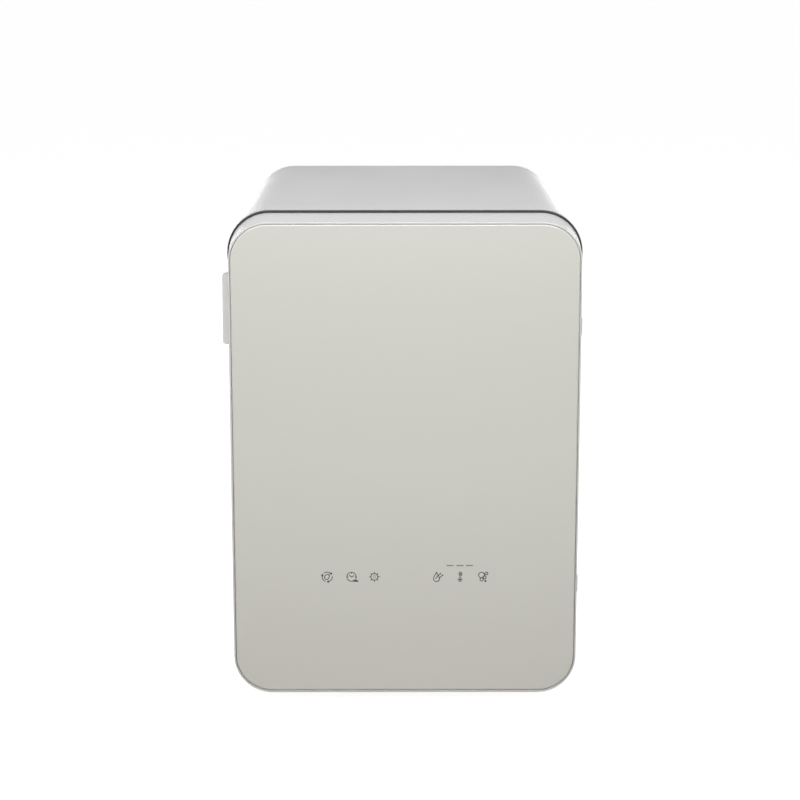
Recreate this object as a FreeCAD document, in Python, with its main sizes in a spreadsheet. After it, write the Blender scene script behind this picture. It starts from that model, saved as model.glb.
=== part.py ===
import FreeCAD, Part
import math
import os
import re
import Sketcher

# Baby bottle steriliser and dryer: an upright cabinet with a glass-fronted door.
# Millimetres, +Z up, front towards -Y.  The origin is on the floor under the
# middle of the cabinet: x = 0 halfway across, y = 0 halfway from front to back.

V = FreeCAD.Vector
doc = FreeCAD.newDocument("Steriliser")

# Driving sizes: name, value, what it is.
SIZES = (
    ("total_depth", 345.0, "front of the door to the back of the cabinet"),
    ("door_width", 286.0, "door outline at its front"),
    ("door_height", 400.5, "door outline at its front"),
    ("door_corner", 32.0, "corner radius of the door outline"),
    ("door_bottom", 8.0, "height of the door's lower edge above the floor"),
    ("door_depth", 38.9, "front lip to the back of the door"),
    ("door_flare", 1.2, "how far the back outline stands outside the front one"),
    ("door_wall", 3.0, "side wall of the door frame"),
    ("edge_band", 3.0, "straight band beside a rounded edge of the door or the cabinet"),
    ("lip_width", 1.3, "bead round the glass"),
    ("lip_round", 0.55, "rounding of the bead"),
    ("door_back_round", 1.4, "rounding of the door's rear edge"),
    ("glass_sink", 0.3, "glass face behind the crown of the bead"),
    ("glass_thick", 3.2, "front glass"),
    ("glass_round", 1.6, "pencil edge of the glass"),
    ("shelf_width", 20.0, "inner flange that the glass is bonded to"),
    ("shelf_thick", 2.6, "thickness of that flange"),
    ("fit_gap", 0.25, "gap round a piece that drops into its seat"),
    ("panel_thick", 2.2, "inner door panel"),
    ("mirror_thick", 0.8, "steel reflector plates"),
    ("gasket_width", 9.0, "door seal"),
    ("gasket_round", 1.2, "rounding of the seal"),
    ("gasket_margin", 2.0, "door seal outside the chamber's inside wall"),
    ("touch_gap", 0.3, "free gap between pieces that move apart"),
    ("seam_gap", 0.7, "door back to the dark ring"),
    ("ring_thick", 2.9, "dark ring between door and cabinet"),
    ("ring_flare", 2.8, "ring outline outside the door's front outline"),
    ("ring_width", 9.0, "radial width of the ring"),
    ("ring_round", 0.7, "rounding of the ring"),
    ("rim_flare", 2.6, "cabinet rim outside the door's front outline"),
    ("rim_depth", 9.0, "depth of the cabinet rim"),
    ("rim_round", 1.3, "rounding of the rim"),
    ("shell_wall", 3.0, "cabinet wall"),
    ("shell_corner", 34.0, "corner radius of the cabinet"),
    ("front_inset", 1.45, "cabinet side inside the door outline, at the front"),
    ("rear_inset", 7.1, "cabinet side inside the door outline, at the back"),
    ("base_inset", 1.4, "cabinet bottom above the door's lower edge"),
    ("rear_round", 2.2, "rounding of the cabinet's rear edge"),
    ("frame_thick", 4.0, "cabinet face frame"),
    ("chamber_side", 32.0, "chamber wall inside the door's side"),
    ("chamber_head", 34.5, "chamber roof below the door's top edge"),
    ("chamber_rise", 56.0, "chamber floor above the door's lower edge"),
    ("machine_space", 77.5, "chamber to the back of the cabinet"),
    ("chamber_corner", 14.0, "inside corner radius"),
    ("sheet", 1.0, "steel sheet of the chamber"),
    ("flange_width", 8.0, "front flange of the chamber"),
    ("axis_inset", 5.0, "hinge axis inside the door's rear outline"),
    ("axis_ahead", 18.0, "hinge axis ahead of the door's back"),
    ("hinge_reach", 90.0, "hinge centre from the door's top or bottom edge"),
    ("arm_height", 14.0, "hinge arm"),
    ("arm_width", 7.8, "stem of the hinge arm"),
    ("arm_offset", 3.2, "stem of the hinge arm from the axis"),
    ("arm_screw_gap", 1.5, "screw heads above and below the hinge arm"),
    ("notch_side", 3.0, "door notch beside the hinge arm"),
    ("notch_room", 1.5, "door notch ahead of the hinge eye"),
    ("eye_round", 6.0, "outer radius of the hinge eye"),
    ("pin_width", 5.0, "hinge pin diameter"),
    ("pin_play", 0.05, "radial play of the pin in its bush"),
    ("bush_width", 8.0, "bush diameter"),
    ("bush_length", 11.0, "bush in its boss"),
    ("bush_flange", 0.8, "thrust flange of the bush"),
    ("bush_lip", 1.3, "thrust flange outside the bush"),
    ("boss_floor", 2.0, "door boss beyond the bush"),
    ("boss_inset", 1.0, "door boss inside the door's side"),
    ("pin_end_gap", 0.5, "pin end inside the bush's end"),
    ("foot_plate", 3.0, "foot of the hinge arm"),
    ("post_width", 8.0, "screw post"),
    ("screw_width", 3.0, "small screws"),
    ("head_width", 6.4, "head of a small screw"),
    ("head_tall", 1.8, "head of a small screw"),
    ("head_sink", 1.0, "counterbore of the rear cover screws"),
    ("head_room", 1.0, "gap round a screw head in its recess"),
    ("screw_bite", 10.0, "length of a screw in its post"),
    ("hole_spare", 2.0, "hole beyond the end of its screw"),
    ("cover_post", 14.0, "screw posts of the rear cover, width and length"),
    ("cover_post_sink", 1.2, "screw posts into the cabinet's wall"),
    ("cover_post_low", 14.0, "lower screw posts above the chamber floor"),
    ("cover_post_high", 40.0, "upper screw posts below the chamber roof"),
    ("handle_reach", 5.9, "handle outside the door's front outline"),
    ("handle_drop", 45.0, "upper end of the handle below the door's top edge"),
    ("handle_height", 58.5, "length of the handle"),
    ("handle_depth", 13.0, "handle from front to back"),
    ("handle_back", 15.0, "front face of the handle behind the door's front"),
    ("handle_round", 2.2, "rounding of the handle"),
    ("handle_bevel", 1.5, "bevel at the tip of the handle"),
    ("handle_scoop", 5.0, "finger side of the handle, thinner at the tip"),
    ("handle_flange", 2.0, "flange that holds the handle inside the door"),
    ("icon_height", 102.5, "touch symbols above the door's lower edge"),
    ("board_thick", 1.6, "circuit boards"),
    ("touch_side", 55.0, "touch board inside the door's side"),
    ("touch_height", 34.0, "touch board"),
    ("chip_size", 10.0, "touch chips"),
    ("chip_tall", 1.8, "touch chips"),
    ("chip_pitch", 55.0, "touch chips along the board"),
    ("plug_length", 18.0, "plug of the touch board"),
    ("plug_width", 7.0, "plug of the touch board"),
    ("plug_tall", 6.0, "plug of the touch board"),
    ("plug_inset", 6.0, "plug from the end of the touch board"),
    ("plug_drop", 13.0, "plug below the middle of the touch board"),
    ("latch_inset", 13.5, "latch magnets and interlock inside the door outline"),
    ("latch_reach", 95.0, "latch magnets from the door's top or bottom edge"),
    ("magnet_width", 9.0, "latch magnet diameter"),
    ("magnet_proud", 2.0, "latch magnet behind the face frame"),
    ("strike_thick", 2.6, "strike plate on the door"),
    ("strike_height", 24.0, "strike plate on the door"),
    ("interlock_drop", 55.5, "interlock below the upper latch magnet"),
    ("plunger_width", 4.6, "interlock plunger diameter"),
    ("plunger_travel", 3.0, "travel of the interlock plunger"),
    ("runner_rear_gap", 17.3, "rack runners to the chamber's rear wall"),
    ("runner_ledge", 9.0, "ledge that carries a rack"),
    ("runner_drop", 9.0, "runner below its ledge"),
    ("runner_fence", 8.0, "runner above its ledge"),
    ("runner_sheet", 1.5, "runner sheet"),
    ("lower_level", 24.0, "lower runners above the chamber floor"),
    ("upper_level", 186.0, "upper runners above the chamber floor"),
    ("rack_setback", 20.0, "racks behind the door seal"),
    ("rack_margin", 5.75, "rack side from the chamber wall"),
    ("rack_rear_gap", 8.8, "racks to the chamber's rear wall"),
    ("rack_corner", 14.0, "corner radius of the rack loops"),
    ("rim_wire", 4.5, "top loop of a rack"),
    ("rack_drop", 8.6, "floor wires of a rack below its bottom loop"),
    ("loop_wire", 3.6, "bottom loop of a rack"),
    ("mesh_wire", 2.6, "bent wires of a rack"),
    ("wire_bend", 4.0, "bend radius of those wires"),
    ("mesh_pitch", 25.0, "wires that run front to back"),
    ("cross_pitch", 52.0, "wires that run across"),
    ("upper_rim", 30.0, "height of the upper rack"),
    ("lower_rim", 38.0, "height of the lower rack"),
    ("tray_height", 12.0, "drip tray"),
    ("tray_sheet", 1.2, "drip tray wall"),
    ("tray_round", 5.0, "rounding of the drip tray's bottom edge"),
    ("lamp_width", 15.6, "lamp tube diameter"),
    ("lamp_length", 136.0, "lamp over its caps"),
    ("lamp_wall", 1.0, "lamp glass"),
    ("lamp_rise", 11.5, "lamp centre outside the chamber sheet"),
    ("cap_length", 6.5, "lamp cap"),
    ("cap_wall", 0.5, "lamp cap wall"),
    ("cap_end", 1.4, "end disc of a lamp cap"),
    ("cap_pin", 2.3, "lamp contact pin diameter"),
    ("cap_pin_length", 6.5, "lamp contact pin"),
    ("cap_pin_pitch", 5.0, "lamp contact pins"),
    ("holder_length", 13.0, "lamp holder"),
    ("holder_width", 22.0, "lamp holder"),
    ("window_end", 10.0, "lamp beyond each end of its window"),
    ("window_width", 44.0, "lamp window in the chamber"),
    ("guard_margin", 6.0, "guard beyond its window"),
    ("guard_rise", 5.0, "guard inside the chamber"),
    ("guard_sheet", 1.0, "guard wall"),
    ("guard_bar", 3.0, "bar between two guard slots"),
    ("guard_slot", 5.0, "slot of a guard"),
    ("reflector_rise", 21.5, "reflector above the chamber sheet"),
    ("reflector_crown", 20.0, "flat top of the reflector"),
    ("reflector_lap", 2.0, "reflector beyond its window"),
    ("reflector_foot_skin", 1.2, "slanted reflector wall, measured along its open side"),
    ("reflector_crown_skin", 0.56, "slanted reflector wall, measured along its flat top"),
    ("lamp_ahead", 4.5, "upper lamp ahead of the chamber's middle"),
    ("lamp_height", 198.0, "middle of the rear lamp above the chamber floor"),
    ("fan_height", 58.0, "middle of the fan above the chamber floor"),
    ("fan_size", 84.0, "fan frame"),
    ("fan_depth", 25.0, "fan frame from front to back"),
    ("fan_rim", 3.0, "fan opening inside the fan frame"),
    ("fan_corner", 4.0, "corner radius of the fan frame"),
    ("fan_screw_inset", 5.0, "fan screws from the edges"),
    ("rotor_setback", 1.3, "rotor behind the front of the fan"),
    ("fan_hub", 32.0, "rotor hub diameter"),
    ("fan_clearance", 1.0, "blade tips to the fan opening"),
    ("blade_count", 7, "fan blades"),
    ("blade_thick", 1.5, "fan blade"),
    ("hub_wall", 2.0, "rotor hub wall"),
    ("hub_depth", 18.0, "rotor hub"),
    ("motor_clear", 1.0, "gap between the motor and the rotor's wall"),
    ("motor_gap", 1.5, "motor behind the floor of the hub"),
    ("spider_thick", 3.5, "arms that hold the fan motor"),
    ("spider_width", 6.0, "arms that hold the fan motor"),
    ("blade_chord", 17.0, "fan blade across"),
    ("blade_root_turn", 48.0, "blade turned from the level at the hub, degrees"),
    ("blade_tip_turn", 28.0, "blade turned from the level at the tip, degrees"),
    ("shaft_width", 3.0, "fan shaft diameter"),
    ("duct_depth", 25.0, "air duct from the chamber to the fan"),
    ("duct_wall", 2.0, "air duct wall"),
    ("heater_depth", 14.0, "heater core"),
    ("fin_pitch", 5.0, "heater fins"),
    ("fin_gap", 3.4, "air gap between two fins"),
    ("vent_slot", 3.4, "height of a vent slot"),
    ("vent_pitch", 8.0, "vent slots"),
    ("vent_margin", 6.0, "vent slots inside the fan frame's sides"),
    ("outlet_drop", 28.0, "chamber outlet slots below the chamber roof"),
    ("outlet_slots", 4, "chamber outlet slots"),
    ("exhaust_drop", 40.0, "rear exhaust slots below the chamber roof"),
    ("exhaust_slots", 6, "rear exhaust slots"),
    ("floor_vent_shift", 40.0, "base plate slots behind its middle"),
    ("floor_slots", 5, "base plate slots"),
    ("cover_thick", 3.0, "rear cover"),
    ("cover_sink", 1.0, "rear cover inside the cabinet's rear edge"),
    ("bay_margin", 10.0, "filter opening outside the fan frame"),
    ("bay_wall", 2.0, "filter bay wall"),
    ("filter_thick", 12.0, "air filter"),
    ("lid_gap", 0.4, "filter cover in its opening"),
    ("lid_thick", 3.4, "filter cover"),
    ("lid_corner", 3.0, "corner radius of the filter cover"),
    ("inlet_inset", 47.9, "power inlet from the cabinet's side"),
    ("inlet_height", 34.0, "power inlet above the cabinet bottom"),
    ("inlet_wall", 3.7, "power inlet outside its recess"),
    ("inlet_rear", 8.0, "power inlet behind its recess"),
    ("inlet_flange", 2.5, "flange round the power inlet"),
    ("socket_width", 16.4, "socket recess"),
    ("socket_tall", 8.8, "socket recess"),
    ("socket_depth", 14.0, "socket recess"),
    ("contact_width", 2.4, "socket contact pin"),
    ("contact_sink", 3.0, "contact pin inside the mouth of the recess"),
    ("contact_pitch", 8.6, "socket contact pins"),
    ("base_front_gap", 39.0, "base plate behind the face frame"),
    ("base_rear_gap", 33.5, "base plate ahead of the rear cover"),
    ("base_lap", 8.0, "base plate over the edge of its opening"),
    ("base_thick", 2.0, "base plate"),
    ("foot_width", 24.0, "rubber foot at its top"),
    ("foot_taper", 1.5, "foot radius lost towards the floor"),
    ("foot_screw_sink", 2.2, "foot screw inside its recess"),
    ("foot_inset", 30.9, "feet from the cabinet's side"),
    ("foot_front_gap", 22.0, "front feet behind the face frame"),
    ("foot_rear_gap", 28.5, "rear feet ahead of the rear cover"),
    ("board_length", 150.0, "main board"),
    ("board_width", 108.0, "main board"),
    ("board_across", 22.0, "main board from the middle"),
    ("board_behind", 6.0, "main board behind the middle of the base plate"),
    ("board_rise", 8.0, "main board above the base plate"),
    ("ballast_length", 96.0, "lamp ballast"),
    ("ballast_width", 34.0, "lamp ballast"),
    ("ballast_tall", 24.0, "lamp ballast"),
    ("ballast_gap", 6.0, "lamp ballast beside the main board"),
    ("switch_width", 12.0, "interlock switch case"),
    ("switch_depth", 22.0, "interlock switch case"),
    ("switch_height", 26.0, "interlock switch case"),
    ("switch_floor", 3.0, "closed end of the interlock switch case"),
    ("collar_step", 1.9, "stop collar outside the plunger"),
    ("collar_thick", 1.5, "stop collar of the plunger"),
    ("spring_wall", 0.8, "plunger spring"),
    ("spring_play", 0.5, "plunger spring inside the collar's edge"),
    ("peg_width", 7.0, "door screw posts"),
    ("peg_side", 16.3, "door screw posts from the door's side"),
    ("peg_inset", 32.0, "door screw posts from the door's top or bottom edge"),
    ("overcut", 1.0, "cuts that end in the open run past the face"),
)

# Places and sizes that follow from the driving sizes.
PLACES = (
    ("front", "-total_depth / 2"),
    ("back", "total_depth / 2"),
    ("door_top", "door_bottom + door_height"),
    ("door_middle", "door_bottom + door_height / 2"),
    ("door_back", "front + door_depth"),
    ("glass_back", "front + glass_sink + glass_thick"),
    ("shelf_back", "glass_back + shelf_thick"),
    ("ring_front", "door_back + seam_gap"),
    ("ring_back", "ring_front + ring_thick"),
    ("rim_back", "ring_back + rim_depth"),
    ("frame_back", "ring_back + frame_thick"),
    ("shell_bottom", "door_bottom + base_inset"),
    ("shell_floor", "shell_bottom + shell_wall"),
    ("shell_front_width", "door_width - 2 * front_inset"),
    ("shell_front_height", "door_top - front_inset - shell_bottom"),
    ("shell_rear_width", "door_width - 2 * rear_inset"),
    ("shell_rear_height", "door_top - rear_inset - shell_bottom"),
    ("chamber_width", "door_width - 2 * chamber_side"),
    ("chamber_floor", "door_bottom + chamber_rise"),
    ("chamber_top", "door_top - chamber_head"),
    ("chamber_height", "chamber_top - chamber_floor"),
    ("chamber_back", "back - machine_space"),
    ("chamber_depth", "chamber_back - frame_back"),
    ("chamber_rear", "chamber_back + sheet"),
    ("chamber_roof", "chamber_top + sheet"),
    ("chamber_middle", "chamber_floor + chamber_height / 2"),
    ("axis_across", "door_width / 2 + door_flare - axis_inset"),
    ("axis_front", "door_back - axis_ahead"),
    ("hinge_low", "door_bottom + hinge_reach"),
    ("hinge_high", "door_top - hinge_reach"),
    ("notch_height", "arm_height + 2 * (bush_flange + touch_gap)"),
    ("notch_left", "axis_across - arm_offset - arm_width - notch_side"),
    ("hinge_screw_across", "axis_across - arm_offset - arm_width / 2"),
    ("hinge_screw_reach", "arm_height / 2 + head_width / 2 + arm_screw_gap"),
    ("gasket_back", "ring_back - touch_gap"),
    ("gasket_inner", "chamber_width + 2 * gasket_margin"),
    ("latch_across", "latch_inset - door_width / 2"),
    ("latch_low", "door_bottom + latch_reach"),
    ("latch_high", "door_top - latch_reach"),
    ("interlock_z", "latch_high - interlock_drop"),
    ("collar_width", "plunger_width + 2 * collar_step"),
    ("handle_low", "door_top - handle_drop - handle_height"),
    ("peg_across", "door_width / 2 - peg_side"),
    ("touch_length", "door_width - 2 * touch_side"),
    ("touch_z", "door_bottom + icon_height"),
    ("rack_width", "chamber_width - 2 * rack_margin"),
    ("rack_front", "gasket_back + rack_setback"),
    ("rack_length", "chamber_back - rack_rear_gap - rack_front"),
    ("rack_middle", "rack_front + rack_length / 2"),
    ("runner_length", "chamber_back - runner_rear_gap - rack_front"),
    ("upper_ledge", "chamber_floor + upper_level"),
    ("lower_ledge", "chamber_floor + lower_level"),
    ("tray_margin", "chamber_corner - tray_round"),
    ("window_length", "lamp_length - 2 * window_end"),
    ("lamp_front", "(frame_back + chamber_back) / 2 - lamp_ahead"),
    ("upper_lamp_z", "chamber_roof + lamp_rise"),
    ("rear_lamp_y", "chamber_rear + lamp_rise"),
    ("rear_lamp_z", "chamber_floor + lamp_height"),
    ("fan_z", "chamber_floor + fan_height"),
    ("fan_front", "chamber_rear + duct_depth"),
    ("fan_back", "fan_front + fan_depth"),
    ("fan_bore", "fan_size - 2 * fan_rim"),
    ("motor_width", "fan_hub - 2 * hub_wall - 2 * motor_clear"),
    ("vent_length", "fan_size - 2 * vent_margin"),
    ("bay_size", "fan_size + 2 * bay_margin"),
    ("cover_back", "back - cover_sink"),
    ("cover_front", "cover_back - cover_thick"),
    ("base_width", "shell_rear_width - 2 * shell_corner"),
    ("base_front", "frame_back + base_front_gap"),
    ("base_rear", "cover_front - base_rear_gap"),
    ("base_length", "base_rear - base_front"),
    ("base_middle", "(base_front + base_rear) / 2"),
    ("foot_across", "shell_rear_width / 2 - foot_inset"),
    ("foot_front", "frame_back + foot_front_gap"),
    ("foot_rear", "cover_front - foot_rear_gap"),
    ("foot_recess", "head_tall + foot_screw_sink"),
    ("base_top", "shell_floor + base_thick"),
    ("board_middle", "base_middle + board_behind"),
    ("ballast_across", "board_across - board_length / 2 - ballast_gap - ballast_width / 2"),
    ("board_bottom", "base_top + board_rise"),
    ("board_top", "board_bottom + board_thick"),
    ("inlet_z", "shell_bottom + inlet_height"),
    ("inlet_across", "inlet_inset - shell_rear_width / 2"),
    ("inlet_width", "socket_width + 2 * inlet_wall"),
    ("inlet_tall", "socket_tall + 2 * inlet_wall"),
    ("inlet_depth", "socket_depth + inlet_rear"),
)


def fill_sheet(name, rows):
    """One row per name: the note or the formula's words beside the value, which carries the alias."""
    made = doc.addObject("Spreadsheet::Sheet", name)
    for row, (alias, value, note) in enumerate(rows, start=1):
        made.set(f"A{row}", note)
        made.set(f"B{row}", value)
        made.setAlias(f"B{row}", alias)
    return made


DRIVING = {alias for alias, value, note in SIZES}
DERIVED = {alias for alias, formula in PLACES}


def cells(text):
    """The expression with each named size pointed at the sheet that holds it."""
    def place(match):
        word = match.group(0)
        if word in DRIVING:
            return f"Sizes.{word}"
        if word in DERIVED:
            return f"Places.{word}"
        return word
    return re.sub(r"[a-z][a-z_]*", place, str(text))


sizes = fill_sheet("Sizes", [(alias, str(value), note) for alias, value, note in SIZES])
places = fill_sheet("Places", [(alias, "=" + cells(text), text) for alias, text in PLACES])
doc.recompute()


def number(text):
    """The value of an expression, in millimetres."""
    return float(sizes.evalExpression(cells(text)))


def whole(text):
    """The value of a count."""
    return round(number(text))


def bind(thing, path, text):
    thing.setExpression(path, cells(text))


NODES = []


def node(label, thing):
    """Give a finished sub-part the name of its node."""
    thing.Label = label
    NODES.append(thing)
    return thing


# Sketches and features

PLANES = {"XY": "XY_Plane", "XZ": "XZ_Plane", "YZ": "YZ_Plane"}


def new_body(label):
    return node(label, doc.addObject("PartDesign::Body", "Body_" + label))


def origin_part(body, role):
    return next(item for item in body.Origin.OriginFeatures if item.Role == role)


def sketch(body, plane, at="0"):
    """A sketch on the body's own origin plane, moved to x, y or z = at."""
    made = body.newObject("Sketcher::SketchObject", "Sketch")
    made.AttachmentSupport = [(origin_part(body, PLANES[plane]), "")]
    made.MapMode = "FlatFace"
    bind(made, "AttachmentOffset.Base.z", f"-({at})" if plane == "XZ" else at)
    return made


def constrain(made, kind, *terms):
    """A dimension whose value, the last term, is an expression."""
    text = terms[-1]
    index = made.addConstraint(Sketcher.Constraint(kind, *terms[:-1], number(text)))
    bind(made, f"Constraints[{index}]", text)


def place_point(made, line, end, across, up):
    constrain(made, "DistanceX", -1, 1, line, end, across)
    constrain(made, "DistanceY", -1, 1, line, end, up)


def polygon(made, points):
    """A closed outline of straight lines through (across, up) expressions."""
    spots = [V(number(across), number(up), 0) for across, up in points]
    lines = []
    for start, end in zip(spots, spots[1:] + spots[:1]):
        lines.append(made.addGeometry(Part.LineSegment(start, end)))
    for line, following in zip(lines, lines[1:] + lines[:1]):
        made.addConstraint(Sketcher.Constraint("Coincident", line, 2, following, 1))
    for line, (across, up) in zip(lines, points):
        place_point(made, line, 1, across, up)


def rectangle(made, left, right, low, high):
    polygon(made, ((left, low), (right, low), (right, high), (left, high)))


def circle(made, width, across="0", up="0"):
    centre = V(number(across), number(up), 0)
    ring = made.addGeometry(Part.Circle(centre, V(0, 0, 1), number(width) / 2))
    constrain(made, "Diameter", ring, width)
    place_point(made, ring, 3, across, up)


def rounded(made, width, height, corner, across="0", up="0"):
    """A rectangle with round corners, centred at (across, up)."""
    radius = number(corner)
    left = number(f"({across}) - ({width}) / 2")
    right = number(f"({across}) + ({width}) / 2")
    low = number(f"({up}) - ({height}) / 2")
    high = number(f"({up}) + ({height}) / 2")
    quarter = math.pi / 2
    around = []

    def side(start, end):
        around.append(made.addGeometry(Part.LineSegment(V(*start, 0), V(*end, 0))))

    def bend(centre, first):
        arc = Part.ArcOfCircle(Part.Circle(V(*centre, 0), V(0, 0, 1), radius), first, first + quarter)
        around.append(made.addGeometry(arc))

    side((left + radius, low), (right - radius, low))
    bend((right - radius, low + radius), -quarter)
    side((right, low + radius), (right, high - radius))
    bend((right - radius, high - radius), 0)
    side((right - radius, high), (left + radius, high))
    bend((left + radius, high - radius), quarter)
    side((left, high - radius), (left, low + radius))
    bend((left + radius, low + radius), 2 * quarter)
    for piece, following in zip(around, around[1:] + around[:1]):
        made.addConstraint(Sketcher.Constraint("Tangent", piece, 2, following, 1))
    bottom, first_bend, right_side, _, top, _, left_side, _ = around
    for level in (bottom, top):
        made.addConstraint(Sketcher.Constraint("Horizontal", level))
    for upright in (left_side, right_side):
        made.addConstraint(Sketcher.Constraint("Vertical", upright))
    for other in around[3::2]:
        made.addConstraint(Sketcher.Constraint("Equal", first_bend, other))
    constrain(made, "Radius", first_bend, corner)
    constrain(made, "DistanceX", -1, 1, left_side, 1, f"({across}) - ({width}) / 2")
    constrain(made, "DistanceX", -1, 1, right_side, 1, f"({across}) + ({width}) / 2")
    constrain(made, "DistanceY", -1, 1, bottom, 1, f"({up}) - ({height}) / 2")
    constrain(made, "DistanceY", -1, 1, top, 1, f"({up}) + ({height}) / 2")


def sound(made):
    """Recompute, and stop where a feature has left nothing solid."""
    doc.recompute()
    if not made.Shape.Solids:
        raise RuntimeError(f"{made.getParentGeoFeatureGroup().Label}: {made.Name} left no solid")
    return made


def extrude(body, kind, profile, length, forward=True):
    """A pad or pocket towards +x, +y or +z, or the other way when forward is False."""
    made = body.newObject("PartDesign::" + kind, kind)
    made.Profile = profile
    bind(made, "Length", length)
    support = profile.AttachmentSupport[0][0].Role
    along_normal = forward != (support == PLANES["XZ"])
    made.Reversed = along_normal == (kind == "Pocket")
    before = body.Shape.Volume if body.Shape.Solids else 0.0
    grown = sound(made).Shape.Volume - before
    if abs(grown) < 1e-6 or (grown > 0) != (kind == "Pad"):
        raise RuntimeError(f"{body.Label}: {made.Name} moved no material")
    return made


def pad(body, profile, length, forward=True):
    return extrude(body, "Pad", profile, length, forward)


def pocket(body, profile, length, forward=True):
    return extrude(body, "Pocket", profile, length, forward)


def loft(body, kind, first, last):
    made = body.newObject(f"PartDesign::{kind}Loft", kind + "Loft")
    made.Profile = first
    made.Sections = [last]
    made.Ruled = True
    return sound(made)


def revolve(body, kind, profile, axis):
    made = body.newObject("PartDesign::" + kind, kind)
    made.Profile = profile
    made.ReferenceAxis = (origin_part(body, axis), [""])
    made.Angle = 360
    return sound(made)


def edges_where(body, wanted):
    """Names of the edges of the body's present shape whose middle point passes the test."""
    names = []
    for index, edge in enumerate(body.Tip.Shape.Edges, start=1):
        first, last = edge.ParameterRange
        if wanted(edge, edge.valueAt((first + last) / 2)):
            names.append(f"Edge{index}")
    return names


def fillet(body, radius, wanted):
    base = body.Tip
    names = edges_where(body, wanted)
    made = body.newObject("PartDesign::Fillet", "Fillet")
    made.Base = (base, names)
    bind(made, "Radius", radius)
    return sound(made)


def repeat(body, original, axis, length, count):
    """Copies of a feature in a row along one of the body's axes."""
    made = body.newObject("PartDesign::LinearPattern", "Row")
    made.Originals = [original]
    made.Direction = (origin_part(body, axis), [""])
    bind(made, "Length", length)
    made.Occurrences = count
    body.Tip = made
    return sound(made)


def fits(length, pitch):
    """How many pitches fit in a length."""
    return int(math.floor(number(f"({length}) / ({pitch})")))


# Plain solids and what is cut from them

AXES = {"X": FreeCAD.Rotation(V(0, 1, 0), 90), "Y": FreeCAD.Rotation(V(1, 0, 0), -90), "Z": FreeCAD.Rotation()}


def block(left, right, front_face, back_face, low, high):
    made = doc.addObject("Part::Box", "Block")
    for size, place, start, end in (("Length", "x", left, right), ("Width", "y", front_face, back_face),
                                    ("Height", "z", low, high)):
        bind(made, size, f"({end}) - ({start})")
        bind(made, "Placement.Base." + place, start)
    return made


def rod(axis, width, length, across, deep, up):
    """A cylinder that starts at (across, deep, up) and runs towards +x, +y or +z."""
    made = doc.addObject("Part::Cylinder", "Rod")
    made.Placement = FreeCAD.Placement(V(), AXES[axis])
    bind(made, "Radius", f"({width}) / 2")
    bind(made, "Height", length)
    for place, text in zip("xyz", (across, deep, up)):
        bind(made, "Placement.Base." + place, text)
    return made


def joined(*solids):
    made = doc.addObject("Part::MultiFuse", "Joined")
    made.Shapes = list(solids)
    return made


def cut(base, *tools):
    made = doc.addObject("Part::Cut", "Cut")
    made.Base = base
    made.Tool = tools[0] if len(tools) == 1 else joined(*tools)
    return made


def group(solids):
    made = doc.addObject("Part::Compound", "Group")
    made.Links = list(solids)
    return made


def tube(axis, outer, inner, length, across, deep, up):
    return cut(rod(axis, outer, length, across, deep, up), rod(axis, inner, length, across, deep, up))


def moved(coordinate, by, towards):
    return f"{coordinate} {'+' if towards > 0 else '-'} ({by})"


def screw(axis, across, deep, up, length, towards=1):
    """A pan head whose underside is at the given point and whose shank runs towards + or - of its axis."""
    spot = dict(zip("XYZ", (across, deep, up)))
    solids = []
    for width, size, direction in (("head_width", "head_tall", -towards), ("screw_width", length, towards)):
        start = dict(spot)
        if direction < 0:
            start[axis] = moved(start[axis], size, -1)
        solids.append(rod(axis, width, size, start["X"], start["Y"], start["Z"]))
    return joined(*solids)


def beyond_door(point):
    """Distance of a point outside the door's front outline, seen from the front."""
    corner = number("door_corner")
    across = abs(point.x) - number("door_width") / 2 + corner
    up = abs(point.z - number("door_middle")) - number("door_height") / 2 + corner
    if across > 0 and up > 0:
        return math.hypot(across, up) - corner
    return max(across, up) - corner


def near(value, text):
    return abs(value - number(text)) < 0.01


HINGES = ("hinge_low", "hinge_high")
LATCHES = ("latch_low", "latch_high")
SIDES = ("", "-")
COVER_POST_LEVELS = ("chamber_floor + cover_post_low", "chamber_top - cover_post_high")
COVER_POSTS = [(side + "(shell_rear_width / 2 - shell_wall - cover_post / 2 + cover_post_sink)", level)
               for side in SIDES for level in COVER_POST_LEVELS]
FOOT_SPOTS = [(side + "foot_across", deep) for side in SIDES for deep in ("foot_front", "foot_rear")]
PEG_SPOTS = [(side + "peg_across", up)
             for side in SIDES for up in ("door_bottom + peg_inset", "door_middle", "door_top - peg_inset")]


# Cabinet case

def shell_section(body, at, end, inset):
    made = sketch(body, "XZ", at)
    height = f"shell_{end}_height"
    rounded(made, f"shell_{end}_width - 2 * ({inset})", f"{height} - 2 * ({inset})",
            f"shell_corner - ({inset})", "0", f"shell_bottom + {height} / 2")
    return made


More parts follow.
